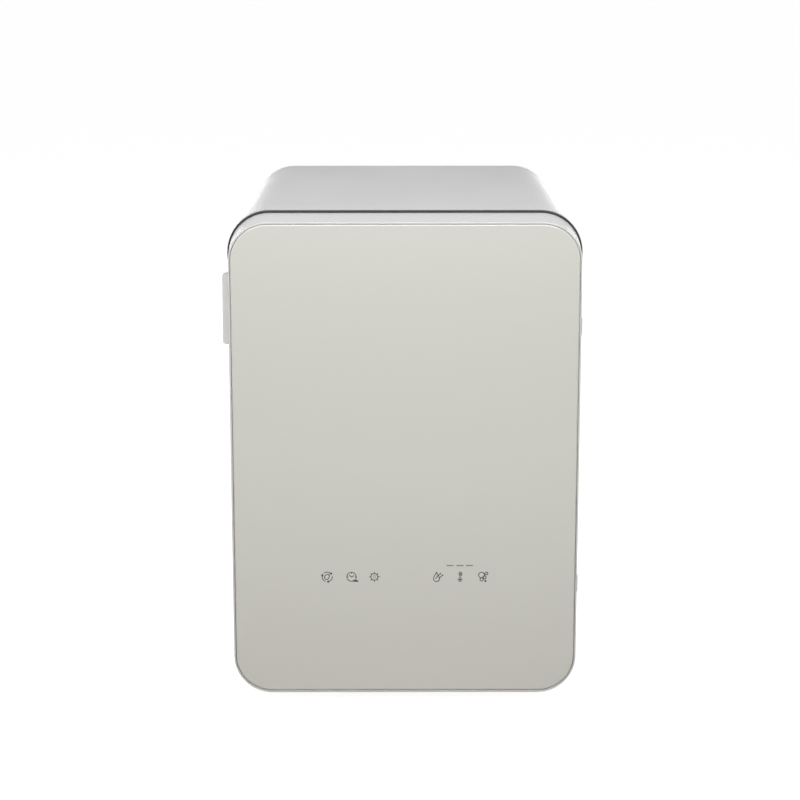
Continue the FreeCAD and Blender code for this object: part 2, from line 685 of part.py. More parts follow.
def outer_shell():
    body = new_body("outer_shell")
    loft(body, "Additive", shell_section(body, "ring_back", "front", "0"),
         shell_section(body, "back - edge_band", "rear", "0"))
    pad(body, shell_section(body, "back - edge_band", "rear", "0"), "edge_band")
    rim = sketch(body, "XZ", "ring_back")
    rounded(rim, "door_width + 2 * rim_flare", "door_height + 2 * rim_flare", "door_corner + rim_flare",
            "0", "door_middle")
    pad(body, rim, "rim_depth")
    fillet(body, "rim_round", lambda edge, spot: beyond_door(spot) > 0.5 * number("rim_flare")
           and (near(spot.y, "ring_back") or near(spot.y, "rim_back")))
    fillet(body, "rear_round", lambda edge, spot: near(spot.y, "back"))
    loft(body, "Subtractive", shell_section(body, "ring_back", "front", "shell_wall"),
         shell_section(body, "back", "rear", "shell_wall"))
    opening = sketch(body, "XY", "shell_bottom")
    rectangle(opening, "base_lap - base_width / 2", "base_width / 2 - base_lap",
              "base_middle - base_length / 2 + base_lap", "base_middle + base_length / 2 - base_lap")
    pocket(body, opening, "shell_wall")
    posts = sketch(body, "XZ", "cover_front - cover_post")
    for across, up in COVER_POSTS:
        circle(posts, "cover_post", across, up)
    pad(body, posts, "cover_post")
    holes = sketch(body, "XZ", "cover_front")
    for across, up in COVER_POSTS:
        circle(holes, "screw_width", across, up)
    pocket(body, holes, "screw_bite + hole_spare", forward=False)
    foot_holes = sketch(body, "XY", "shell_bottom")
    for across, deep in FOOT_SPOTS:
        circle(foot_holes, "screw_width", across, deep)
    pocket(body, foot_holes, "shell_wall")


def front_frame():
    body = new_body("front_frame")
    outline = sketch(body, "XZ", "ring_back")
    inset = "(shell_wall + fit_gap)"
    rounded(outline, f"shell_front_width - 2 * {inset}", f"shell_front_height - 2 * {inset}",
            f"shell_corner - {inset}", "0", "shell_bottom + shell_front_height / 2")
    pad(body, outline, "frame_thick")
    holes = sketch(body, "XZ", "ring_back")
    rounded(holes, "chamber_width", "chamber_height", "chamber_corner", "0", "chamber_middle")
    for level in HINGES:
        rectangle(holes, "axis_across - arm_offset - arm_width - touch_gap",
                  "axis_across - arm_offset + touch_gap",
                  f"{level} - arm_height / 2 - touch_gap", f"{level} + arm_height / 2 + touch_gap")
        for way in ("-", "+"):
            circle(holes, "screw_width", "hinge_screw_across", f"{level} {way} hinge_screw_reach")
    for level in LATCHES:
        circle(holes, "magnet_width", "latch_across", level)
    circle(holes, "plunger_width + 2 * touch_gap", "latch_across", "interlock_z")
    pocket(body, holes, "frame_thick")


def trim_ring():
    body = new_body("trim_ring")
    outline = sketch(body, "XZ", "ring_front")
    rounded(outline, "door_width + 2 * ring_flare", "door_height + 2 * ring_flare", "door_corner + ring_flare",
            "0", "door_middle")
    pad(body, outline, "ring_thick")
    fillet(body, "ring_round", lambda edge, spot: near(spot.y, "ring_front"))
    inner = sketch(body, "XZ", "ring_front")
    inset = "(ring_flare - ring_width)"
    rounded(inner, f"door_width + 2 * {inset}", f"door_height + 2 * {inset}", f"door_corner + {inset}",
            "0", "door_middle")
    pocket(body, inner, "ring_thick")


def chamber_liner():
    body = new_body("chamber_liner")

    def section(at, grow):
        made = sketch(body, "XZ", at)
        rounded(made, f"chamber_width + 2 * {grow}", f"chamber_height + 2 * {grow}", f"chamber_corner + {grow}",
                "0", "chamber_middle")
        return made

    pad(body, section("frame_back", "sheet"), "chamber_depth + sheet")
    pad(body, section("frame_back", "flange_width"), "sheet")
    pocket(body, section("frame_back", "0"), "chamber_depth")
    roof = sketch(body, "XY", "chamber_top")
    rectangle(roof, "-window_length / 2", "window_length / 2",
              "lamp_front - window_width / 2", "lamp_front + window_width / 2")
    pocket(body, roof, "sheet")
    rear = sketch(body, "XZ", "chamber_back")
    rectangle(rear, "-window_length / 2", "window_length / 2",
              "rear_lamp_z - window_width / 2", "rear_lamp_z + window_width / 2")
    pocket(body, rear, "sheet")
    vent_row(body, "chamber_back", "sheet", "vent_length", "fan_z",
             fits("fan_bore - vent_pitch", "vent_pitch"))
    vent_row(body, "chamber_back", "sheet", "vent_length", "chamber_top - outlet_drop",
             whole("outlet_slots"))


def vent_row(body, at, depth, length, middle, count):
    """Level slots, one above the other, through a wall that faces front or back."""
    lowest = f"({middle}) - {count - 1} * vent_pitch / 2"
    slot = sketch(body, "XZ", at)
    rectangle(slot, f"-({length}) / 2", f"({length}) / 2",
              f"{lowest} - vent_slot / 2", f"{lowest} + vent_slot / 2")
    repeat(body, pocket(body, slot, depth), "Z_Axis", f"{count - 1} * vent_pitch", count)


def base_plate():
    body = new_body("base_plate")
    outline = sketch(body, "XY", "shell_floor")
    rounded(outline, "base_width", "base_length", "base_lap", "0", "base_middle")
    pad(body, outline, "base_thick")
    posts = sketch(body, "XY", "base_top")
    for across in "-+":
        for deep in "-+":
            circle(posts, "post_width", f"board_across {across} (board_length / 2 - post_width)",
                   f"board_middle {deep} (board_width / 2 - post_width)")
    pad(body, posts, "board_rise")
    slot = sketch(body, "XY", "shell_floor")
    start = "base_middle + floor_vent_shift"
    rectangle(slot, "-vent_length / 2", "vent_length / 2", start, f"{start} + vent_slot")
    repeat(body, pocket(body, slot, "base_thick"), "Y_Axis", "(floor_slots - 1) * vent_pitch",
           whole("floor_slots"))


def rear_cover():
    body = new_body("rear_cover")
    outline = sketch(body, "XZ", "cover_front")
    inset = "(shell_wall + fit_gap)"
    rounded(outline, f"shell_rear_width - 2 * {inset}", f"shell_rear_height - 2 * {inset}",
            f"shell_corner - {inset}", "0", "shell_bottom + shell_rear_height / 2")
    pad(body, outline, "cover_thick")
    bay = sketch(body, "XZ", "fan_back")
    square(bay, "bay_size + 2 * bay_wall", "fan_z")
    pad(body, bay, "cover_front - fan_back")
    inside = sketch(body, "XZ", "fan_back")
    square(inside, "bay_size", "fan_z")
    pocket(body, inside, "cover_back - fan_back")
    holes = sketch(body, "XZ", "cover_front")
    for across, up in COVER_POSTS:
        circle(holes, "screw_width", across, up)
    half_width = "(inlet_width + touch_gap) / 2"
    half_tall = "(inlet_tall + touch_gap) / 2"
    rectangle(holes, f"inlet_across - {half_width}", f"inlet_across + {half_width}",
              f"inlet_z - {half_tall}", f"inlet_z + {half_tall}")
    pocket(body, holes, "cover_thick")
    sinks = sketch(body, "XZ", "cover_back")
    for across, up in COVER_POSTS:
        circle(sinks, "head_width + 2 * touch_gap", across, up)
    pocket(body, sinks, "head_sink", forward=False)
    vent_row(body, "cover_front", "cover_thick", "2 * vent_length", "chamber_top - exhaust_drop",
             whole("exhaust_slots"))


def square(made, side, up):
    rectangle(made, f"-({side}) / 2", f"({side}) / 2", f"{up} - ({side}) / 2", f"{up} + ({side}) / 2")


def feet():
    """Four turned rubber feet, each with a recess for its screw."""
    for across, deep in FOOT_SPOTS:
        side = "left" if across.startswith("-") else "right"
        body = new_body(f"foot_{deep[5:]}_{side}")
        profile = sketch(body, "XZ")
        recess = "head_width / 2 + head_room"
        polygon(profile, (("screw_width / 2", "foot_recess"), (recess, "foot_recess"),
                          (recess, "0"), ("foot_width / 2 - foot_taper", "0"),
                          ("foot_width / 2", "shell_bottom"), ("screw_width / 2", "shell_bottom")))
        revolve(body, "Revolution", profile, "Z_Axis")
        bind(body, "Placement.Base.x", across)
        bind(body, "Placement.Base.y", deep)


def case_screws():
    node("foot_screws", group(screw("Z", across, deep, "foot_recess", "shell_floor - foot_recess")
                              for across, deep in FOOT_SPOTS))
    node("cover_screws", group(screw("Y", across, "cover_back - head_sink", up,
                                     "cover_thick - head_sink + screw_bite", towards=-1)
                               for across, up in COVER_POSTS))


# Chamber fittings

def rack_runners():
    for level in ("upper", "lower"):
        for side, sign in (("left", "-"), ("right", "")):
            body = new_body(f"{level}_runner_{side}")
            wall = "chamber_width / 2"
            ledge = f"{level}_ledge"
            corners = ((wall, f"{ledge} - runner_drop"), (wall, f"{ledge} + runner_fence"),
                       (f"{wall} - runner_sheet", f"{ledge} + runner_fence"),
                       (f"{wall} - runner_sheet", ledge), (f"{wall} - runner_ledge", ledge),
                       (f"{wall} - runner_ledge", f"{ledge} - runner_sheet"),
                       (f"{wall} - runner_sheet", f"{ledge} - runner_sheet"),
                       (f"{wall} - runner_sheet", f"{ledge} - runner_drop"))
            profile = sketch(body, "XZ", "rack_front")
            polygon(profile, [(f"{sign}({across})", up) for across, up in corners])
            pad(body, profile, "runner_length")


def lamp_set(name, deep, up, outward):
    """Lamp, caps, holders, reflector and guard.  The window looks along y or z, as outward says."""
    half = "lamp_length / 2"
    node(f"{name}_lamp_tube", tube("X", "lamp_width", "lamp_width - 2 * lamp_wall",
                                   "lamp_length - 2 * cap_end", f"cap_end - {half}", deep, up))
    node(f"{name}_lamp_caps", group(lamp_cap(side, deep, up) for side in (-1, 1)))
    node(f"{name}_lamp_holders", group(lamp_holder(side, deep, up, outward) for side in (-1, 1)))
    reflector(name, deep, up, outward)
    lamp_guard(name, deep, up, outward)


def from_left(side, start, length):
    """Left end of a stretch that starts at start from the middle and is length long, on either side."""
    return start if side > 0 else f"-({start}) - ({length})"


def lamp_cap(side, deep, up):
    start = "lamp_length / 2 - cap_length"
    outer = rod("X", "lamp_width + 2 * cap_wall", "cap_length",
                from_left(side, start, "cap_length"), deep, up)
    seat = rod("X", "lamp_width", "cap_length - cap_end",
               from_left(side, start, "cap_length - cap_end"), deep, up)
    pins = [rod("X", "cap_pin", "cap_pin_length + cap_end / 2",
                from_left(side, "lamp_length / 2 - cap_end / 2", "cap_pin_length + cap_end / 2"),
                deep, f"{up} {way} cap_pin_pitch / 2") for way in "-+"]
    return joined(cut(outer, seat), *pins)


def lamp_holder(side, deep, up, outward):
    start = "lamp_length / 2 + touch_gap / 2"
    left = from_left(side, start, "holder_length")
    low = "lamp_rise"
    high = "(reflector_rise - lamp_rise)"
    reach = "holder_width / 2"
    if outward == "Z":
        body = block(left, f"{left} + holder_length", f"{deep} - {reach}", f"{deep} + {reach}",
                     f"{up} - {low}", f"{up} + {high}")
    else:
        body = block(left, f"{left} + holder_length", f"{deep} - {low}", f"{deep} + {high}",
                     f"{up} - {reach}", f"{up} + {reach}")
    depth = "cap_pin_length + touch_gap"
    holes = [rod("X", "cap_pin + touch_gap / 2", depth, from_left(side, start, depth), deep,
                 f"{up} {way} cap_pin_pitch / 2") for way in "-+"]
    return cut(body, *holes)


def reflector(name, deep, up, outward):
    """A folded trough open towards the chamber."""
    foot = "window_width / 2 + reflector_lap"
    crown = "reflector_crown / 2"
    skin = "mirror_thick"
    inner_foot = f"({foot} - reflector_foot_skin)"
    inner_crown = f"({crown} - reflector_crown_skin)"
    corners = (("0", f"-({foot})"), ("reflector_rise", f"-{crown}"), ("reflector_rise", crown), ("0", foot),
               ("0", inner_foot), (f"reflector_rise - {skin}", inner_crown),
               (f"reflector_rise - {skin}", f"-{inner_crown}"), ("0", f"-{inner_foot}"))
    body = new_body(f"{name}_lamp_reflector")
    profile = sketch(body, "YZ", "-window_length / 2")
    if outward == "Z":
        polygon(profile, [(f"{deep} + {side}", f"{up} - lamp_rise + {out}") for out, side in corners])
    else:
        polygon(profile, [(f"{deep} - lamp_rise + {out}", f"{up} + {side}") for out, side in corners])
    pad(body, profile, "window_length")


def lamp_guard(name, deep, up, outward):
    """A shallow slotted box over the window, on the chamber side."""
    body = new_body(f"{name}_lamp_guard")
    plane, at, middle = ("XY", "chamber_top", deep) if outward == "Z" else ("XZ", "chamber_back", up)

    def panel(start, inset, length, kind):
        made = sketch(body, plane, start)
        reach = f"(window_width / 2 + guard_margin - {inset})"
        along = f"(window_length / 2 + guard_margin - {inset})"
        rectangle(made, f"-{along}", along, f"{middle} - {reach}", f"{middle} + {reach}")
        kind(body, made, length)

    panel(f"{at} - guard_rise", "0", "guard_rise", pad)
    panel(f"{at} - guard_rise + guard_sheet", "guard_sheet", "guard_rise - guard_sheet", pocket)
    slot = sketch(body, plane, f"{at} - guard_rise")
    pitch = "(guard_bar + guard_slot)"
    count = fits("window_length", pitch)
    first = f"-{count} * {pitch} / 2 + guard_bar / 2"
    rectangle(slot, first, f"{first} + guard_slot",
              f"{middle} - window_width / 2", f"{middle} + window_width / 2")
    repeat(body, pocket(body, slot, "guard_sheet"), "X_Axis", f"{count - 1} * {pitch}", count)


# Racks and tray

RACK_LOOP_WIDTH = "(rack_width - rim_wire)"
RACK_LOOP_LENGTH = "(rack_length - rim_wire)"
WELD = "(mesh_wire / 6)"


def wire_loop(body, wire, up):
    """A closed loop of round wire inside the rack's outline."""
    spine = sketch(body, "XY", up)
    rounded(spine, RACK_LOOP_WIDTH, RACK_LOOP_LENGTH, "rack_corner", "0", "rack_middle")
    profile = sketch(body, "YZ", "0")
    circle(profile, wire, f"rack_middle - {RACK_LOOP_LENGTH} / 2", up)
    return pipe(body, profile, spine)


def pipe(body, profile, spine):
    made = body.newObject("PartDesign::AdditivePipe", "Pipe")
    made.Profile = profile
    made.Spine = (spine, [])
    return sound(made)


def bent_wire(body, plane, at, middle, reach, floor, crown):
    """One wire down from the top loop, across the floor and up again."""
    spine = sketch(body, plane, at)
    left, right = f"({middle} - {reach})", f"({middle} + {reach})"
    bend = "wire_bend"
    turn = number(bend)
    x0, x1, z0, z1 = (number(text) for text in (left, right, floor, crown))
    down = spine.addGeometry(Part.LineSegment(V(x0, z1, 0), V(x0, z0 + turn, 0)))
    first = spine.addGeometry(Part.ArcOfCircle(Part.Circle(V(x0 + turn, z0 + turn, 0), V(0, 0, 1), turn),
                                               math.pi, 1.5 * math.pi))
    across = spine.addGeometry(Part.LineSegment(V(x0 + turn, z0, 0), V(x1 - turn, z0, 0)))
    second = spine.addGeometry(Part.ArcOfCircle(Part.Circle(V(x1 - turn, z0 + turn, 0), V(0, 0, 1), turn),
                                                1.5 * math.pi, 2 * math.pi))
    rise = spine.addGeometry(Part.LineSegment(V(x1, z0 + turn, 0), V(x1, z1, 0)))
    for before, end, after, start in ((down, 2, first, 1), (first, 2, across, 1),
                                      (across, 2, second, 1), (second, 2, rise, 1)):
        spine.addConstraint(Sketcher.Constraint("Tangent", before, end, after, start))
    spine.addConstraint(Sketcher.Constraint("Horizontal", across))
    spine.addConstraint(Sketcher.Constraint("Vertical", down))
    spine.addConstraint(Sketcher.Constraint("Vertical", rise))
    spine.addConstraint(Sketcher.Constraint("Equal", first, second))
    constrain(spine, "Radius", first, bend)
    place_point(spine, down, 1, left, crown)
    place_point(spine, rise, 2, right, crown)
    constrain(spine, "DistanceY", -1, 1, across, 1, floor)
    profile = sketch(body, "XY", crown)
    if plane == "YZ":
        circle(profile, "mesh_wire", at, left)
    else:
        circle(profile, "mesh_wire", left, at)
    return pipe(body, profile, spine)


def rack(level):
    """Two loops of wire with bent wires welded inside them, both ways."""
    body = new_body(f"{level}_rack")
    bottom = f"{level}_ledge + touch_gap + loop_wire / 2"
    floor = f"{bottom} - rack_drop"
    crown = f"{level}_ledge + touch_gap + {level}_rim - rim_wire / 2"
    wire_loop(body, "loop_wire", bottom)
    wire_loop(body, "rim_wire", crown)
    inside = f"((loop_wire + mesh_wire) / 2 - {WELD})"
    count = fits(f"{RACK_LOOP_LENGTH} - 2 * rack_corner", "cross_pitch")
    first = f"rack_middle - {count} * cross_pitch / 2"
    crossing = bent_wire(body, "XZ", first, "0", f"({RACK_LOOP_WIDTH} / 2 - {inside})", floor, crown)
    repeat(body, crossing, "Y_Axis", f"{count} * cross_pitch", count + 1)
    count = fits(f"{RACK_LOOP_WIDTH} - 2 * rack_corner", "mesh_pitch")
    lengthwise = bent_wire(body, "YZ", f"-{count} * mesh_pitch / 2", "rack_middle",
                           f"({RACK_LOOP_LENGTH} / 2 - {inside})", f"{floor} + mesh_wire - {WELD}", crown)
    repeat(body, lengthwise, "X_Axis", f"{count} * mesh_pitch", count + 1)


def drip_tray():
    """A dish of even wall, open at the top."""
    body = new_body("drip_tray")
    bottom = "chamber_floor + touch_gap"
    outline = sketch(body, "XY", bottom)
    rounded(outline, "chamber_width - 2 * tray_margin", "rack_length", "rack_corner", "0", "rack_middle")
    pad(body, outline, "tray_height")
    fillet(body, "tray_round", lambda edge, spot: near(spot.z, bottom))
    solid = body.Tip
    top = next(index for index, face in enumerate(solid.Shape.Faces, start=1)
               if near(face.CenterOfMass.z, f"{bottom} + tray_height"))
    hollow = body.newObject("PartDesign::Thickness", "Hollow")
    hollow.Base = (solid, [f"Face{top}"])
    hollow.Reversed = True
    bind(hollow, "Value", "tray_sheet")
    sound(hollow)


# Air system, at the back of the chamber

def air_duct():
    half = "fan_size / 2"
    outer = block(f"-{half}", half, "chamber_rear", "fan_front", f"fan_z - {half}", f"fan_z + {half}")
    clear = f"({half} - duct_wall)"
    inner = block(f"-{clear}", clear, "chamber_rear", "fan_front", f"fan_z - {clear}", f"fan_z + {clear}")
    node("air_duct", cut(outer, inner))


def heater_core():
    """A finned heating block that fills the duct."""
    body = new_body("heater_core")
    start = "chamber_rear + (duct_depth - heater_depth) / 2"
    outline = sketch(body, "XZ", start)
    square(outline, "fan_size - 2 * duct_wall - touch_gap", "fan_z")
    pad(body, outline, "heater_depth")
    width = "(fan_size - 2 * duct_wall - 2 * fin_pitch)"
    count = fits(width, "fin_pitch")
    first = f"-{count} * fin_pitch / 2 + (fin_pitch - fin_gap) / 2"
    slot = sketch(body, "XZ", start)
    rectangle(slot, first, f"{first} + fin_gap", f"fan_z - {width} / 2", f"fan_z + {width} / 2")
    repeat(body, pocket(body, slot, "heater_depth"), "X_Axis", f"{count - 1} * fin_pitch", count)


def at_fan(label):
    """A body whose own y axis is the fan's axis and whose y = 0 is the fan's front face."""
    body = new_body(label)
    bind(body, "Placement.Base.y", "fan_front")
    bind(body, "Placement.Base.z", "fan_z")
    return body


def fan_frame():
    body = at_fan("fan_frame")
    outline = sketch(body, "XZ")
    rounded(outline, "fan_size", "fan_size", "fan_corner", "0", "0")
    pad(body, outline, "fan_depth")
    bore = sketch(body, "XZ")
    circle(bore, "fan_bore")
    pocket(body, bore, "fan_depth")
    holes = sketch(body, "XZ")
    inset = "(fan_size / 2 - fan_screw_inset)"
    for across in SIDES:
        for up in SIDES:
            circle(holes, "screw_width + head_room", across + inset, up + inset)
    pocket(body, holes, "fan_depth")
    spider = sketch(body, "XZ", "fan_depth - spider_thick")
    circle(spider, "motor_width")
    pad(body, spider, "spider_thick")
    arm = sketch(body, "XZ", "fan_depth - spider_thick")
    rectangle(arm, "-spider_width / 2", "spider_width / 2", "motor_width / 2 - overcut",
              "fan_bore / 2 + overcut")
    turn_copies(body, pad(body, arm, "spider_thick"), 4)
    shaft_bore = sketch(body, "XZ", "fan_depth - spider_thick")
    circle(shaft_bore, "shaft_width + 2 * pin_play")
    pocket(body, shaft_bore, "spider_thick")


def turn_copies(body, original, count):
    """Copies of a feature round the body's own y axis."""
    made = body.newObject("PartDesign::PolarPattern", "Ring")
    made.Originals = [original]
    made.Axis = (origin_part(body, "Y_Axis"), [""])
    made.Angle = 360
    made.Occurrences = count
    body.Tip = made
    return sound(made)


def fan_rotor():
    body = at_fan("fan_rotor")
    start = "rotor_setback"
    cup = sketch(body, "XZ", start)
    circle(cup, "fan_hub")
    pad(body, cup, "hub_depth")
    hollow = sketch(body, "XZ", f"{start} + hub_wall")
    circle(hollow, "fan_hub - 2 * hub_wall")
    pocket(body, hollow, "hub_depth - hub_wall")
    shaft = sketch(body, "XZ", f"{start} + hub_wall / 2")
    circle(shaft, "shaft_width")
    pad(body, shaft, f"fan_depth - ({start}) - hub_wall / 2 - touch_gap")
    root = blade_section(body, "fan_hub / 2 - hub_wall / 2", "blade_root_turn", f"{start} + hub_depth / 2")
    tip = blade_section(body, "fan_bore / 2 - fan_clearance - blade_thick", "blade_tip_turn",
                        f"{start} + hub_depth / 2")
    turn_copies(body, loft(body, "Additive", root, tip), whole("blade_count"))


def blade_section(body, at, turn, middle):
    """The blade's cut at one radius: a slanted strip, seen along the blade."""
    made = sketch(body, "YZ", at)
    sine = math.sin(math.radians(number(turn)))
    cosine = math.cos(math.radians(number(turn)))
    corners = []
    for along, off in ((-1, -1), (1, -1), (1, 1), (-1, 1)):
        deep = f"{middle} + {along * sine:.4f} * blade_chord / 2 - {off * cosine:.4f} * blade_thick / 2"
        up = f"{along * cosine:.4f} * blade_chord / 2 + {off * sine:.4f} * blade_thick / 2"
        corners.append((deep, up))
    polygon(made, corners)
    return made


def fan_motor():
    start = "fan_front + rotor_setback + hub_wall + motor_gap"
    node("fan_motor", tube("Y", "motor_width", "shaft_width + 2 * pin_play",
                           f"fan_back - spider_thick - ({start})", "0", start, "fan_z"))


def air_filter():
    half = "(bay_size / 2 - touch_gap)"
    node("air_filter", block(f"-{half}", half, "cover_front - filter_thick", "cover_front",
                             f"fan_z - {half}", f"fan_z + {half}"))


def filter_cover():
    """A slotted lid that drops into the rear cover."""
    body = new_body("filter_cover")
    outline = sketch(body, "XZ", "back - lid_thick")
    side = "(bay_size - 2 * lid_gap)"
    rounded(outline, side, side, "lid_corner", "0", "fan_z")
    pad(body, outline, "lid_thick")
    fillet(body, "lip_round", lambda edge, spot: near(spot.y, "back"))
    count = fits("bay_size - 3 * vent_pitch", "vent_pitch")
    vent_row(body, "back - lid_thick", "lid_thick", "vent_length", "fan_z", count)


# Electrics under the chamber and behind it

def main_board():
    node("main_board", block("board_across - board_length / 2", "board_across + board_length / 2",
                             "board_middle - board_width / 2", "board_middle + board_width / 2",
                             "board_bottom", "board_top"))


# Components on the main board.  Blocks: corner from the board's middle, across and front to back, then
# width, length and height.  Cans: centre from the board's middle, then diameter and height.
TRANSFORMER = (-66, -20, 32, 28, 25)
RELAYS = [(-26 + 21 * place, 24, 18, 15, 15.5) for place in range(3)]
SOCKETS = [(-60 + 24 * place, -50, 18, 7, 8) for place in range(5)]
CHIPS = ((20, -8, 16, 11, 2), (44, -30, 12, 9, 1.8), (46, 6, 9, 14, 1.8))
CANS = ((-18, -30, 13, 22), (0, -32, 10, 17), (14, -32, 10, 17))


def board_block(across, deep, wide, long, tall):
    return block(f"board_across + {across}", f"board_across + {across} + {wide}",
                 f"board_middle + {deep}", f"board_middle + {deep} + {long}",
                 "board_top", f"board_top + {tall}")


def board_can(across, deep, width, tall):
    return rod("Z", str(width), str(tall), f"board_across + {across}", f"board_middle + {deep}", "board_top")


def board_parts():
    node("transformer", board_block(*TRANSFORMER))
    blocks = [board_block(*part) for part in (*RELAYS, *SOCKETS, *CHIPS)]
    node("board_parts", group(blocks + [board_can(*can) for can in CANS]))


def lamp_ballast():
    node("lamp_ballast", block("ballast_across - ballast_width / 2", "ballast_across + ballast_width / 2",
                               "board_middle - ballast_length / 2", "board_middle + ballast_length / 2",
                               "base_top", "base_top + ballast_tall"))


def power_inlet():
    """A two-pin appliance inlet, set into the rear cover, open towards the back."""
    half_width = "inlet_width / 2"
    half_tall = "inlet_tall / 2"
    case = block(f"inlet_across - {half_width}", f"inlet_across + {half_width}", "cover_back - inlet_depth",
                 "cover_back", f"inlet_z - {half_tall}", f"inlet_z + {half_tall}")
    plate = block(f"inlet_across - {half_width} - inlet_flange", f"inlet_across + {half_width} + inlet_flange",
                  "cover_back", "back", f"inlet_z - {half_tall} - inlet_flange",
                  f"inlet_z + {half_tall} + inlet_flange")
    straight = "(socket_width - socket_tall) / 2"
    start = "back - socket_depth"
    recess = [rod("Y", "socket_tall", "socket_depth", f"inlet_across {way} {straight}", start, "inlet_z")
              for way in "-+"]
    recess.append(block(f"inlet_across - {straight}", f"inlet_across + {straight}", start, "back",
                        "inlet_z - socket_tall / 2", "inlet_z + socket_tall / 2"))
    pins = [rod("Y", "contact_width", "socket_depth - contact_sink", f"inlet_across {way} contact_pitch / 2",
                start, "inlet_z") for way in "-+"]
    node("power_inlet", group([cut(joined(case, plate), *recess), *pins]))


# Hinges

def hinge_arms():
    for name in ("low", "high"):
        level = f"hinge_{name}"
        body = new_body("hinge_arm_upper" if name == "high" else "hinge_arm_lower")
        near_edge = "axis_across - arm_offset"
        far_edge = f"{near_edge} - arm_width"
        bottom = f"{level} - arm_height / 2"
        plan = sketch(body, "XY", bottom)
        polygon(plan, ((far_edge, "frame_back + foot_plate"), (far_edge, "axis_front - eye_round"),
                       ("axis_across", "axis_front - eye_round"), ("axis_across", "axis_front + eye_round"),
                       (near_edge, "axis_front + eye_round"), (near_edge, "frame_back + foot_plate")))
        pad(body, plan, "arm_height")
        eye = sketch(body, "XY", bottom)
        circle(eye, "2 * eye_round", "axis_across", "axis_front")
        pad(body, eye, "arm_height")
        foot = sketch(body, "XZ", "frame_back")
        reach = "(hinge_screw_reach + head_width)"
        rectangle(foot, "hinge_screw_across - head_width", "hinge_screw_across + head_width",
                  f"{level} - {reach}", f"{level} + {reach}")
        pad(body, foot, "foot_plate")
        holes = sketch(body, "XZ", "frame_back")
        for way in ("-", "+"):
            circle(holes, "screw_width", "hinge_screw_across", f"{level} {way} hinge_screw_reach")
        pocket(body, holes, "foot_plate")
        bore = sketch(body, "XY", bottom)
        circle(bore, "pin_width", "axis_across", "axis_front")
        pocket(body, bore, "arm_height")


def hinge_pins():
    reach = "(notch_height / 2 + bush_length - pin_end_gap)"
    node("hinge_pins", group(rod("Z", "pin_width", f"2 * {reach}", "axis_across", "axis_front",
                                 f"{level} - {reach}") for level in HINGES))


def hinge_bushes():
    """Flanged bushes in the door, above and below each hinge arm."""
    solids = []
    for level in HINGES:
        for way in (-1, 1):
            face = f"{level} {'+' if way > 0 else '-'} notch_height / 2"
            low = face if way > 0 else f"{face} - bush_length"
            flange = f"{face} - bush_flange" if way > 0 else face
            body = joined(rod("Z", "bush_width", "bush_length", "axis_across", "axis_front", low),
                          rod("Z", "bush_width + 2 * bush_lip", "bush_flange", "axis_across", "axis_front",
                              flange))
            start = flange if way > 0 else low
            solids.append(cut(body, rod("Z", "pin_width + 2 * pin_play", "bush_length + bush_flange",
                                        "axis_across", "axis_front", start)))
    node("hinge_bushes", group(solids))


def hinge_screws():
    node("hinge_screws", group(screw("Y", "hinge_screw_across", "frame_back + foot_plate",
                                     f"{level} {way} hinge_screw_reach",
                                     "foot_plate + frame_thick", towards=-1)
                               for level in HINGES for way in "-+"))


# Latch and interlock

def latch():
    node("latch_magnets", group(rod("Y", "magnet_width", "frame_thick + magnet_proud", "latch_across",
                                    "ring_back", level) for level in LATCHES))
    half = "(latch_inset - door_wall - 2 * fit_gap) / 2"
    node("strike_plates", group(block(f"latch_across - {half}", f"latch_across + {half}", "door_back",
                                      "door_back + strike_thick", f"{level} - strike_height / 2",
                                      f"{level} + strike_height / 2") for level in LATCHES))


def interlock():
    """A spring-loaded plunger that the closed door keeps pushed in."""
    start = "door_back + touch_gap"
    bore = "(collar_width + 2 * touch_gap)"
    case_end = "frame_back + switch_depth"
    stop = "frame_back + plunger_travel + touch_gap"
    shaft = rod("Y", "plunger_width", f"{stop} + collar_thick - ({start})", "latch_across", start, "interlock_z")
    collar = rod("Y", "collar_width", "collar_thick", "latch_across", stop, "interlock_z")
    node("interlock_plunger", joined(shaft, collar))
    half = "switch_width / 2"
    case = block(f"latch_across - {half}", f"latch_across + {half}", "frame_back", case_end,
                 "interlock_z - switch_height / 2", "interlock_z + switch_height / 2")
    node("interlock_switch", cut(case, rod("Y", bore, "switch_depth - switch_floor", "latch_across", "frame_back",
                                           "interlock_z")))
    spring_start = f"{stop} + collar_thick + touch_gap"
    coil = "collar_width - 2 * spring_play"
    node("interlock_spring", tube("Y", coil, f"{coil} - 2 * spring_wall",
                                  f"{case_end} - switch_floor - ({spring_start})", "latch_across", spring_start,
                                  "interlock_z"))


# Door

def door_section(body, at, inset):
    made = sketch(body, "XZ", at)
    rounded(made, f"door_width - 2 * ({inset})", f"door_height - 2 * ({inset})", f"door_corner - ({inset})",
            "0", "door_middle")
    return made


